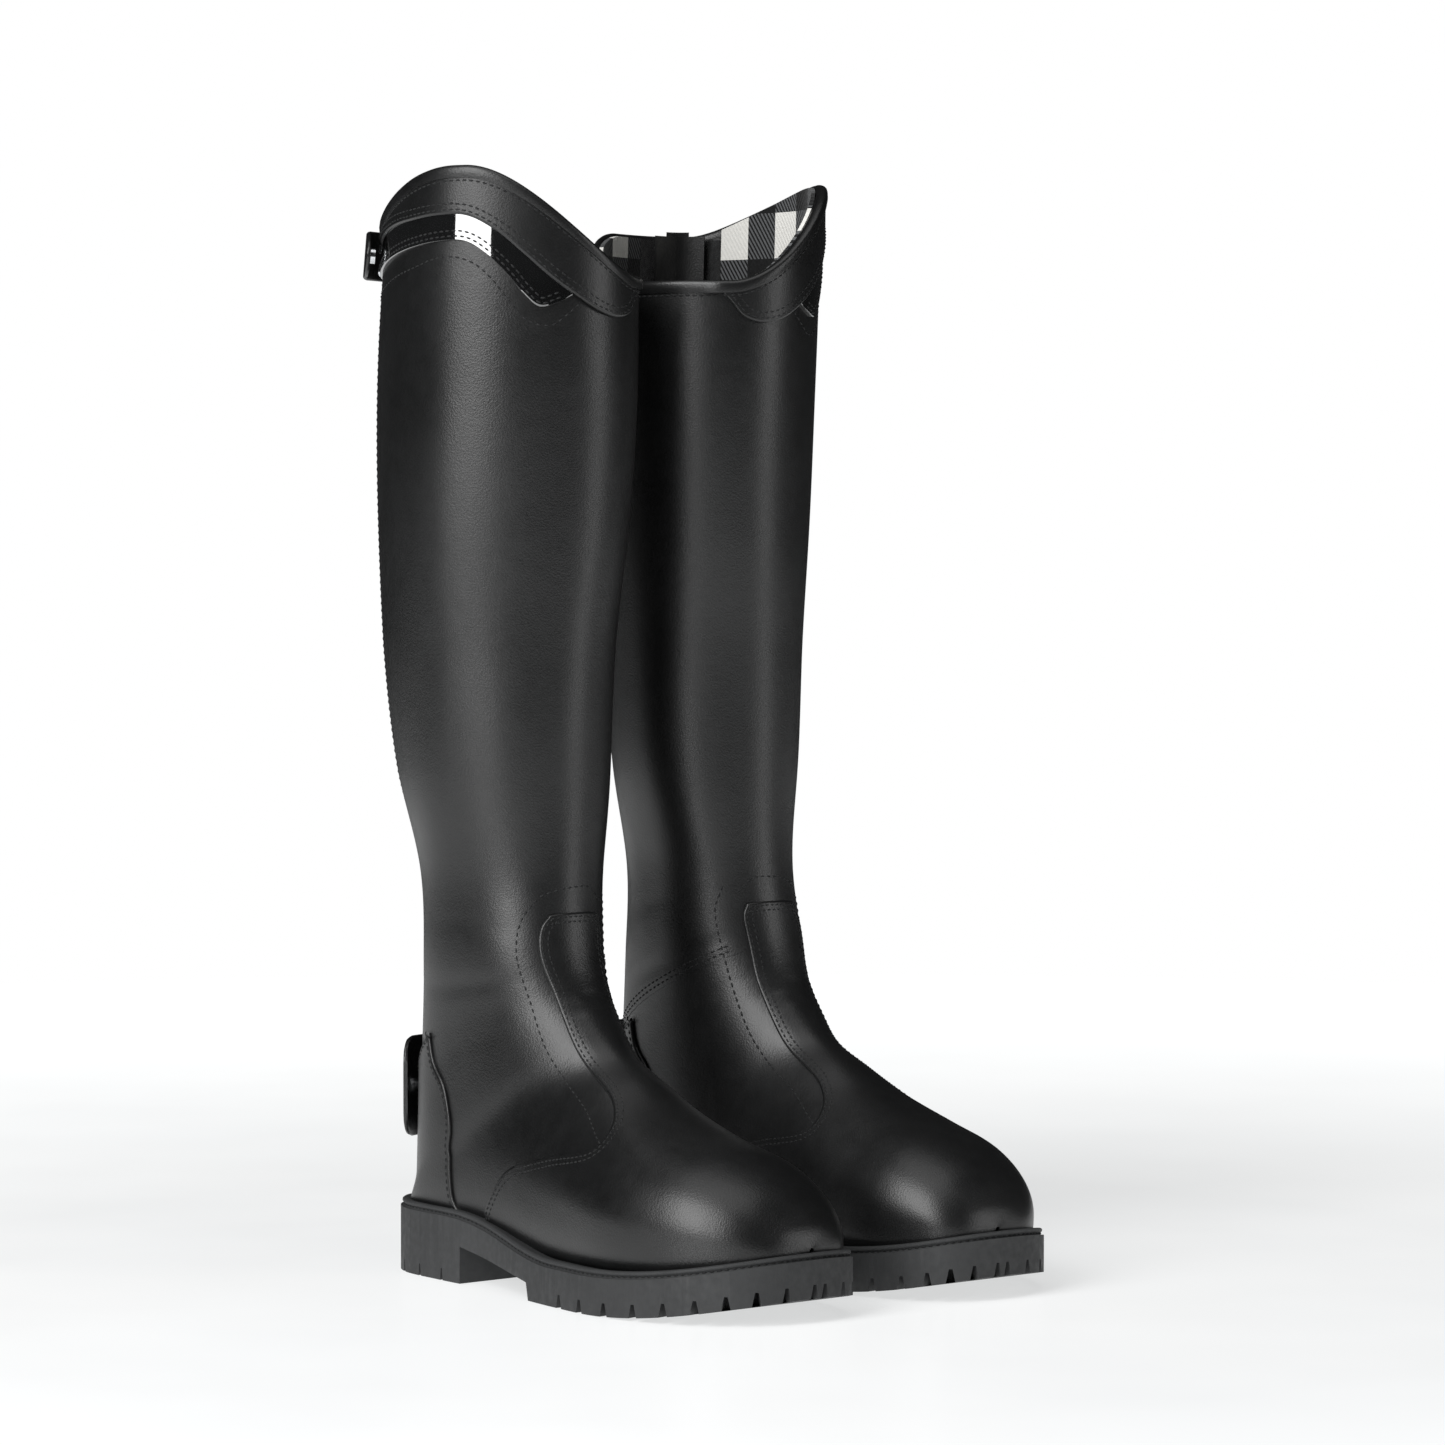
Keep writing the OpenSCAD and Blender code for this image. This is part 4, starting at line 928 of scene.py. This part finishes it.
def lathe(profile, sides):
    """Round solid from (radius, height) steps."""
    points = []
    for r, h in profile:
        for k in range(sides):
            w = 2 * math.pi * k / sides
            points.append((h, r * math.cos(w), r * math.sin(w)))
    return np.array(points), ring_faces(0, len(profile), sides)


def heel_cap_shape():
    points, faces = lathe([(CAP_R - 0.5, 0), (CAP_R, 0.3), (CAP_R, 0.9), (CAP_R - 0.5, 1.3),
                           (CAP_R - 1.5, 1.35), (CAP_R - 1.8, 1.25), (CAP_R - 2.1, 1.5),
                           (CAP_R - 2.8, 2.2), (CAP_R - 4, 2.4), (1.2, 2.45)], 64)
    w = math.radians(-14)
    x = points[:, 0] + HEEL_TAB_R + TAB_T + 0.7
    turned = np.stack([HEEL_TAB_OFF - HEEL_TAB_R + x * math.cos(w) - points[:, 1] * math.sin(w),
                       x * math.sin(w) + points[:, 1] * math.cos(w), points[:, 2]], -1)
    return at_heel(turned), faces


# ---- linings ----

# Outer and inner face of each layer, from the outer face of the leather
RIM_IN = -2.1
PLAID_FACES, FLEECE_TOP, FLEECE_LOW = (-2.5, -4.4), (-2.5, -4.3), (-4.8, -6.6)
GUARD_FACES, GUARD_TIP, TAPE_FACES = (-7.2, -8.3), (-6.0, -6.9), (TAPE_OUT, TAPE_OUT - 0.7)


def lumps(t, a, size):
    x, y = a * 0.9, t * 57
    wave = (np.sin(x * 0.9 + 1.7 * np.sin(y * 0.31)) + np.sin(y * 0.8 + 1.3 * np.sin(x * 0.37))
            + 0.6 * np.sin(x * 2.1 + y * 1.3))
    return size * wave / 2.6


def rim_shape():
    """Rolled leather binding over the top line."""
    a = np.linspace(SLOT_TOP, -SLOT_TOP, 260)
    thick = 0.4 + (CUFF_OUT + 0.1) * ease((a + 24) / 16)
    t_low, t_top = calf_t(top_line(a) - 3.4), calf_t(top_line(a) + 0.5)
    rows = [layer(t_low + (t_top - t_low) * f, a, thick + lift)
            for f, lift in ((0, 0.15), (0.5, 0.5), (1, 0.4))]
    up = np.array([0, 0, 1.0])
    normal = outward(t_top, a)
    middle, half = (thick + 0.4 + RIM_IN) / 2, (thick + 0.4 - RIM_IN) / 2
    for w in np.radians([25, 50, 75, 90, 105, 130, 155]):
        base = form(t_top, a) + normal * (middle + half * np.cos(w))[:, None]
        rows.append(base + up * 2.0 * np.sin(w))
    rows += [layer(t_low + (t_top - t_low) * f, a, RIM_IN) for f in (1, 0.5, 0)]
    rows += [layer(t_low, a, RIM_IN + 0.6), layer(t_low, a, thick - 0.9)]
    grid = np.stack(rows)
    n, cols = grid.shape[:2]
    faces = [(i * cols + j, ((i + 1) % n) * cols + j, ((i + 1) % n) * cols + j + 1, i * cols + j + 1)
             for i in range(n) for j in range(cols - 1)]
    faces += [tuple(i * cols for i in range(n)),
              tuple(i * cols + cols - 1 for i in range(n - 1, -1, -1))]
    return grid.reshape(-1, 3), faces


def plaid_shape():
    angles = np.linspace(PLAID_EDGE, -PLAID_EDGE, 97)
    upper = np.stack([calf_t(top_line(angles) + 1.1), angles], -1)
    lower = np.stack([np.full(97, 6.1), angles], -1)
    t, a = between(upper, lower, 70, 96)
    outer, inner = (layer(t, a, face + relief(t, a)) for face in PLAID_FACES)
    length = np.radians(a) * 58
    uv = np.stack([length, 522 - t * CALF_STEP], -1).reshape(-1, 2)
    points, faces = shell(outer, inner)
    return points, faces, np.concatenate([uv, uv])


def fleece_shape():
    parts = []
    for way in (1, -1):
        st = np.linspace(float(calf_t(BACK_LINE + 0.8)), 6.15, 120)[:, None]
        end = zip_angle(st, 9.0)
        f = np.linspace(0, 1, 16)[None, :]
        a = (PLAID_EDGE + 0.2 + (end - PLAID_EDGE - 0.2) * f) * way
        parts.append(pile(np.broadcast_to(st, a.shape), a, FLEECE_TOP))
    rows = np.concatenate([np.linspace(6.0, 9, 40), np.linspace(9.1, 15.8, 60)])
    half = np.array([float(zip_angle(t, 9.0)) if t < 9 else min(174, feather(t, 9)) for t in rows])
    f = np.linspace(1, -1, 81)[None, :]
    a = half[:, None] * f
    parts.append(pile(np.broadcast_to(rows[:, None], a.shape), a, FLEECE_LOW))
    return join(parts)


def pile(t, a, faces):
    """Fleece with a lumpy inner face."""
    return shell(layer(t, a, faces[0]), layer(t, a, faces[1] + lumps(t, a, 0.25)))


def guard_shape():
    t, a = strip_grid(-15, 15, float(calf_t(BACK_LINE + 3)), ZIP_END, 120, 13)
    bow = 0.4 * np.cos(np.linspace(-1, 1, 13) * 1.5)[None, :]
    cover = shell(*(layer(t, a, face + bow) for face in GUARD_FACES))
    t, a = strip_grid(-7.5, 7.5, float(calf_t(BACK_LINE + 5)), float(calf_t(BACK_LINE - 6)), 12, 9)
    return join([cover, shell(*(layer(t, a, face) for face in GUARD_TIP))])


def tape_shape():
    parts = []
    for low, high in ((0.8, 12.7), (-12.7, -0.8)):
        t, a = strip_grid(low, high, float(calf_t(TEETH_TOP)), ZIP_END, 160, 9)
        parts.append(shell(*(layer(t, a, face) for face in TAPE_FACES)))
    return join(parts)


# ---- materials ----

MATERIALS, SLOT_OF = {}, {}


class Nodes:
    """Small helper that makes and links shader nodes."""

    def __init__(self, name, slot):
        self.material = bpy.data.materials.new(name)
        self.material.use_nodes = True
        self.tree = self.material.node_tree
        self.shader = self.tree.nodes["Principled BSDF"]
        MATERIALS[name], SLOT_OF[name] = self.material, slot

    def put(self, kind, **values):
        node = self.tree.nodes.new(kind)
        for key, value in values.items():
            if hasattr(node, key):
                setattr(node, key, value)
            else:
                node.inputs[key.replace("_", " ")].default_value = value
        return node

    def link(self, source, target):
        self.tree.links.new(source, target)

    def coords(self, kind="Object"):
        return self.put("ShaderNodeTexCoord").outputs[kind]

    def noise(self, scale, detail=3.0, roughness=0.5):
        node = self.put("ShaderNodeTexNoise", Scale=scale, Detail=detail, Roughness=roughness)
        self.link(self.coords(), node.inputs["Vector"])
        return node.outputs["Fac"]

    def cells(self, scale):
        node = self.put("ShaderNodeTexVoronoi", Scale=scale)
        self.link(self.coords(), node.inputs["Vector"])
        return node.outputs["Distance"]

    def split(self, kind="Object"):
        """The three coordinates, each on its own socket."""
        node = self.put("ShaderNodeSeparateXYZ")
        self.link(self.coords(kind), node.inputs[0])
        return node.outputs

    def math(self, operation, a, b=0.0):
        node = self.put("ShaderNodeMath", operation=operation)
        for socket, value in zip(node.inputs, (a, b, 0.0)):
            if isinstance(value, (int, float)):
                socket.default_value = value
            else:
                self.link(value, socket)
        return node.outputs[0]

    def ramp(self, value, stops):
        node = self.put("ShaderNodeValToRGB")
        bar = node.color_ramp
        while len(bar.elements) < len(stops):
            bar.elements.new(0.5)
        for element, (place, shade) in zip(bar.elements, stops):
            element.position = place
            element.color = shade if len(shade) == 4 else (*shade, 1)
        self.link(value, node.inputs[0])
        return node.outputs[0]

    def map(self, value, low, high, to_low, to_high):
        node = self.put("ShaderNodeMapRange")
        for socket, number in zip(node.inputs[1:5], (low, high, to_low, to_high)):
            socket.default_value = number
        self.link(value, node.inputs[0])
        return node.outputs[0]

    def bump(self, height, strength, distance, normal=None):
        node = self.put("ShaderNodeBump", Strength=strength, Distance=distance)
        self.link(height, node.inputs["Height"])
        if normal is not None:
            self.link(normal, node.inputs["Normal"])
        return node.outputs[0]

    def finish(self, color=None, roughness=None, normal=None, **fixed):
        for name, source in (("Base Color", color), ("Roughness", roughness), ("Normal", normal)):
            if source is not None:
                self.link(source, self.shader.inputs[name])
        for name, value in fixed.items():
            self.shader.inputs[name.replace("_", " ")].default_value = value


def grey(value, tint=(0.97, 1.0, 1.03)):
    return tuple(value * c for c in tint)


def make_leather(name, slot, dark, light, rough_low, rough_high):
    m = Nodes(name, slot)
    cloud = m.noise(9, 5, 0.6)
    fine = m.noise(140, 4, 0.6)
    mixed = m.math("ADD", m.math("MULTIPLY", cloud, 0.75), m.math("MULTIPLY", fine, 0.25))
    color = m.ramp(mixed, [(0.32, grey(dark)), (0.68, grey(light))])
    rough = m.map(mixed, 0.3, 0.7, rough_low, rough_high)
    grain = m.cells(1150)
    pores = m.noise(2600, 2, 0.5)
    folds = m.noise(55, 4, 0.55)
    normal = m.bump(folds, 0.25, 0.0006)
    normal = m.bump(grain, 0.35, 0.00016, normal)
    normal = m.bump(pores, 0.25, 0.00008, normal)
    m.finish(color, rough, normal, Specular_IOR_Level=0.55, Coat_Weight=0.12, Coat_Roughness=0.45)


def make_patent():
    m = Nodes("patent", "patent")
    color = m.ramp(m.noise(30, 3), [(0.3, grey(0.004)), (0.7, grey(0.009))])
    rough = m.map(m.noise(220, 3), 0.3, 0.7, 0.03, 0.08)
    normal = m.bump(m.noise(90, 2), 0.12, 0.0004)
    m.finish(color, rough, normal, Specular_IOR_Level=1.0, Coat_Weight=1.0, Coat_Roughness=0.03,
             Coat_IOR=2.0)


def make_rubber():
    m = Nodes("rubber", "rubber")
    cloud = m.noise(14, 5, 0.65)
    color = m.ramp(cloud, [(0.3, grey(0.028)), (0.7, grey(0.045))])
    rough = m.map(m.noise(300, 3), 0.3, 0.7, 0.55, 0.78)
    normal = m.bump(m.noise(1500, 3), 0.3, 0.00015, m.bump(m.noise(60, 3), 0.12, 0.0005))
    m.finish(color, rough, normal, Specular_IOR_Level=0.4)


def make_thread():
    m = Nodes("thread", "leather")
    color = m.ramp(m.noise(900, 2), [(0.3, grey(0.008)), (0.7, grey(0.022))])
    normal = m.bump(m.noise(2500, 2), 0.5, 0.0002)
    m.finish(color, m.map(m.noise(500, 2), 0.3, 0.7, 0.55, 0.8), normal, Specular_IOR_Level=0.3)


def make_metal(name, low, high, shade):
    m = Nodes(name, "bright_metal")
    color = m.ramp(m.noise(200, 3), [(0.3, grey(shade * 0.9)), (0.7, grey(shade))])
    normal = m.bump(m.noise(700, 3), 0.15, 0.0001)
    m.finish(color, m.map(m.noise(400, 4), 0.3, 0.7, low, high), normal, Metallic=1.0)


# Repeat of the plaid around and up the shaft, and of its twill, in millimetres
CHECK_WIDTH, CHECK_HEIGHT, TWILL_STEP = 30.0, 44.0, 2.0


def make_plaid():
    """Twill check: warp and weft each black or white, shown in turn by the twill."""
    m = Nodes("plaid", "plaid")
    u, v, _ = m.split("UV")

    def phase(place, period):
        return m.math("FRACT", m.math("DIVIDE", place, period))

    warp = m.math("GREATER_THAN", phase(m.math("ADD", u, 2.0), CHECK_WIDTH), 0.5)
    weft = m.math("GREATER_THAN", phase(m.math("SUBTRACT", v, 17.0), CHECK_HEIGHT), 0.5)
    slant = phase(m.math("SUBTRACT", m.math("MULTIPLY", v, 0.6), u), TWILL_STEP)
    shown = m.math("GREATER_THAN", slant, 0.5)
    picked = m.math("ADD", m.math("MULTIPLY", warp, shown),
                    m.math("MULTIPLY", weft, m.math("SUBTRACT", 1.0, shown)))
    soft = m.noise(700, 3)
    both = m.math("MULTIPLY", warp, weft)
    level = m.math("ADD", m.math("MULTIPLY", both, 0.52), 0.34)
    shade = m.math("ADD", m.math("MULTIPLY", picked, level), m.math("MULTIPLY", soft, 0.12))
    color = m.ramp(shade, [(0.05, grey(0.006)), (0.12, grey(0.02)), (0.5, grey(0.16)),
                           (0.85, (0.78, 0.77, 0.73)), (1.0, (0.9, 0.89, 0.85))])
    rib = m.math("SINE", m.math("MULTIPLY", slant, 6.283))
    normal = m.bump(rib, 0.3, 0.0003, m.bump(m.noise(900, 4), 0.5, 0.0004))
    m.finish(color, m.map(soft, 0.3, 0.7, 0.85, 0.98), normal, Sheen_Weight=0.15, Specular_IOR_Level=0.2)


def make_fleece():
    m = Nodes("fleece", "fleece")
    pile = m.noise(420, 6, 0.75)
    color = m.ramp(pile, [(0.3, grey(0.003)), (0.75, grey(0.03))])
    normal = m.bump(pile, 0.9, 0.0012, m.bump(m.noise(110, 4), 0.5, 0.002))
    m.finish(color, m.map(pile, 0.3, 0.7, 0.85, 1.0), normal, Sheen_Weight=0.35, Sheen_Roughness=0.5,
             Specular_IOR_Level=0.15)


def make_simple(name, slot, low, high, rough, scale):
    m = Nodes(name, slot)
    spots = m.noise(scale, 4, 0.6)
    color = m.ramp(spots, [(0.3, low), (0.7, high)])
    m.finish(color, m.map(spots, 0.3, 0.7, rough - 0.08, rough + 0.08), m.bump(spots, 0.3, 0.0003))


def make_tape():
    m = Nodes("tape", "tape")
    x, _, z = m.split()
    weave = m.math("MULTIPLY", *(m.math("SINE", m.math("MULTIPLY", c, 7500.0)) for c in (z, x)))
    color = m.ramp(m.noise(600, 3), [(0.3, grey(0.008)), (0.7, grey(0.02))])
    m.finish(color, m.map(weave, -1, 1, 0.7, 0.9), m.bump(weave, 0.4, 0.0002), Specular_IOR_Level=0.3)


make_leather("leather", "leather", 0.003, 0.009, 0.31, 0.42)
make_patent()
make_rubber()
make_thread()
make_metal("bright_metal", 0.15, 0.28, 0.72)
make_plaid()
make_fleece()
make_tape()
make_simple("zip_black", "zip_teeth", grey(0.006), grey(0.014), 0.35, 300)
make_simple("board", "board", (0.32, 0.24, 0.15), (0.45, 0.35, 0.23), 0.8, 250)
make_simple("stiffener", "stiffener", (0.5, 0.5, 0.48), (0.6, 0.6, 0.57), 0.7, 250)
make_simple("steel", "steel", (0.4, 0.41, 0.42), (0.5, 0.51, 0.52), 0.4, 300)


# ---- the two boots ----

# Name, grid, inner and outer face, borders to round (top, bottom, first, last) and the
# width they round over, material, and the CAD node that the panel stands for
PANELS = [
    ("shaft", main_grid, -LEATHER_T, 0.0, (0, 0, 1, 1), 1.2, "leather", "shaft_leather"),
    ("quarter", quarter_grid, -LEATHER_T, -0.2, (0, 0, 0, 1), 1.0, "leather", "inner_quarter"),
    ("vamp", vamp_grid, 0.1, PANEL_OUT, (1, 0, 1, 1), 1.1, "leather", "vamp"),
    ("counter", counter_grid, 0.1, PANEL_OUT, (1, 0, 1, 1), 1.1, "leather", "heel_counter"),
    ("cuff", cuff_grid, BAND_OUT + 0.05, CUFF_OUT, (0, 1, 1, 1), 1.0, "leather", "top_cuff"),
    ("band", band_grid, 0.1, BAND_OUT, (0, 1, 1, 1), 0.3, "patent", "patent_band")]


def leather_pieces(side):
    for name, grid, inner, outer, sides, width, material, node in PANELS:
        points, faces = leather_skin(*grid(), inner, outer, sides, width)
        new_piece(name, side, points, faces, material, "boot", [node])
    new_piece("binding", side, *rim_shape(), "leather", "boot", ["rim_binding"])
    new_piece("threads", side, *leather_threads(), "thread", "boot")


def lining_pieces(side):
    points, faces, uv = plaid_shape()
    new_piece("plaid", side, points, faces, "plaid", "boot", ["plaid_lining"], uv=uv)
    new_piece("fleece", side, *fleece_shape(), "fleece", "boot", ["fleece_lining"])
    new_piece("guard", side, *guard_shape(), "leather", "boot", ["zip_guard"])
    new_piece("tapes", side, *tape_shape(), "tape", "boot", ["zip_tapes"])
    new_piece("teeth", side, *teeth_shape(), "zip_black", "boot", ["zip_teeth"], smooth=25)


def strap_pieces(side):
    """Each strap is built in place and rides on no body; the heel cap rides on its tab."""
    strap_piece = new_piece("top_strap", side, *top_strap_shape(), "leather", None,
                            ["top_tab", "top_tab_root"])
    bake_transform(strap_piece)
    heel_piece = new_piece("heel_strap", side, *heel_strap_shape(), "leather", None,
                           ["heel_tab", "heel_tab_root"])
    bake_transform(heel_piece)
    new_piece("heel_cap", side, *heel_cap_shape(), "patent", "heel_tab", ["heel_tab_cap"])


def sole_pieces(side, shapes):
    new_piece("outsole", side, *shapes["sole"], "rubber", "boot", ["outsole"], smooth=30)
    new_piece("footbed", side, *shapes["bed"], "fleece", "boot", ["footbed"])
    new_piece("welt", side, *shapes["welt"], "rubber", "boot", ["welt"])
    new_piece("welt_threads", side, *shapes["welt_threads"], "thread", "boot")


# CAD nodes that stay as they are, and the material each one gets
KEPT = {"zip_slider": "bright_metal", "zip_pull": "bright_metal", "zip_stops": "bright_metal",
        "top_tab_socket": "bright_metal", "press_studs": "bright_metal", "shank": "steel",
        "insole_board": "board", "toe_puff": "stiffener", "heel_stiffener": "stiffener"}


def dress_kept_nodes():
    for part, material in KEPT.items():
        for label in ("left", "right"):
            node = frame["nodes"][f"{part}_{label}"]
            if not node.material_slots:
                node.data.materials.append(None)
            for place in node.material_slots:
                place.link = "OBJECT"
                place.material = MATERIALS[material]


# ---- camera, light and floor ----

CAMERA_TURN, CAMERA_PITCH, LENS = 40.0, 1.99, 130.8
CAMERA_PLACE = (-1.5556, (-1937.4 + CENTRE_Y) / 1000, 0.342)
ROOM_LIGHT, FLOOR_GLOW, FLOOR_R, FLOOR_SIDES = 0.015, 0.62, 1.7, 96
# Name, place, aim, width, height and power of each soft light
LIGHTS = [("left", (-2.1, -0.42, 1.5), (0, 0, 0.25), 1.3, 2.6, 74),
          ("right", (1.45, -2.15, 0.75), (0, 0, 0.3), 0.6, 1.5, 10),
          ("top", (-0.2, -0.3, 2.7), (0, 0, 0), 2.0, 2.0, 16)]


def make_camera():
    data = bpy.data.cameras.new("camera")
    data.lens, data.sensor_width, data.clip_end = LENS, 36.0, 50
    camera = bpy.data.objects.new("camera", data)
    camera.location = CAMERA_PLACE
    camera.rotation_euler = (math.radians(90 - CAMERA_PITCH), 0, math.radians(-CAMERA_TURN))
    bpy.context.scene.collection.objects.link(camera)
    bpy.context.scene.camera = camera


def area_light(name, place, target, width, height, power):
    data = bpy.data.lights.new(name, "AREA")
    data.shape, data.size, data.size_y, data.energy = "RECTANGLE", width, height, power
    lamp = bpy.data.objects.new(name, data)
    lamp.location = place
    aim = Vector(target) - Vector(place)
    lamp.rotation_euler = aim.to_track_quat("-Z", "Y").to_euler()
    bpy.context.scene.collection.objects.link(lamp)


def make_world():
    """White behind the boots, and a dim room for light and reflections."""
    data = bpy.data.worlds.new("studio")
    data.use_nodes = True
    tree = data.node_tree
    back = tree.nodes["Background"]
    back.inputs[0].default_value = (1, 1, 1, 1)
    room = tree.nodes.new("ShaderNodeBackground")
    room.inputs[0].default_value = (0.96, 0.98, 1.0, 1)
    room.inputs[1].default_value = ROOM_LIGHT
    ray, mix = tree.nodes.new("ShaderNodeLightPath"), tree.nodes.new("ShaderNodeMixShader")
    tree.links.new(ray.outputs["Is Camera Ray"], mix.inputs[0])
    tree.links.new(room.outputs[0], mix.inputs[1])
    tree.links.new(back.outputs[0], mix.inputs[2])
    tree.links.new(mix.outputs[0], tree.nodes["World Output"].inputs[0])
    bpy.context.scene.world = data


def make_floor():
    """Round white table that glows a little more towards its rim."""
    around = [(2 * math.pi * k / FLOOR_SIDES) for k in range(FLOOR_SIDES)]
    rim = [(FLOOR_R * math.cos(w), FLOOR_R * math.sin(w), 0) for w in around]
    mesh = bpy.data.meshes.new("floor")
    mesh.from_pydata(rim, [], [tuple(range(FLOOR_SIDES))])
    m = Nodes("floor", "leather")
    x, y, _ = m.split()
    far = m.math("SQRT", m.math("ADD", m.math("POWER", x, 2.0), m.math("POWER", y, 2.0)))
    m.link(m.map(far, 0.4, FLOOR_R * 0.9, FLOOR_GLOW, 1.0), m.shader.inputs["Emission Strength"])
    m.shader.inputs["Emission Color"].default_value = (0.99, 1.0, 1.0, 1)
    m.finish(m.ramp(m.noise(3, 2), [(0.3, (0.55, 0.56, 0.57)), (0.7, (0.6, 0.6, 0.6))]),
             m.map(m.noise(8, 2), 0.3, 0.7, 0.22, 0.28), None, Specular_IOR_Level=0.5)
    mesh.materials.append(m.material)
    ground = bpy.data.objects.new("floor", mesh)
    ground.location.z = -0.0002
    bpy.context.scene.collection.objects.link(ground)


def make_studio():
    make_world()
    make_floor()
    for values in LIGHTS:
        area_light(*values)
    bpy.context.scene.view_settings.view_transform = "Standard"


make_camera()
make_studio()
SHAPES = {"sole": sole_shape(), "bed": footbed_shape(), "welt": welt_shape(),
          "welt_threads": welt_threads()}
for boot in (1, -1):
    leather_pieces(boot)
    lining_pieces(boot)
    strap_pieces(boot)
    sole_pieces(boot, SHAPES)
dress_kept_nodes()
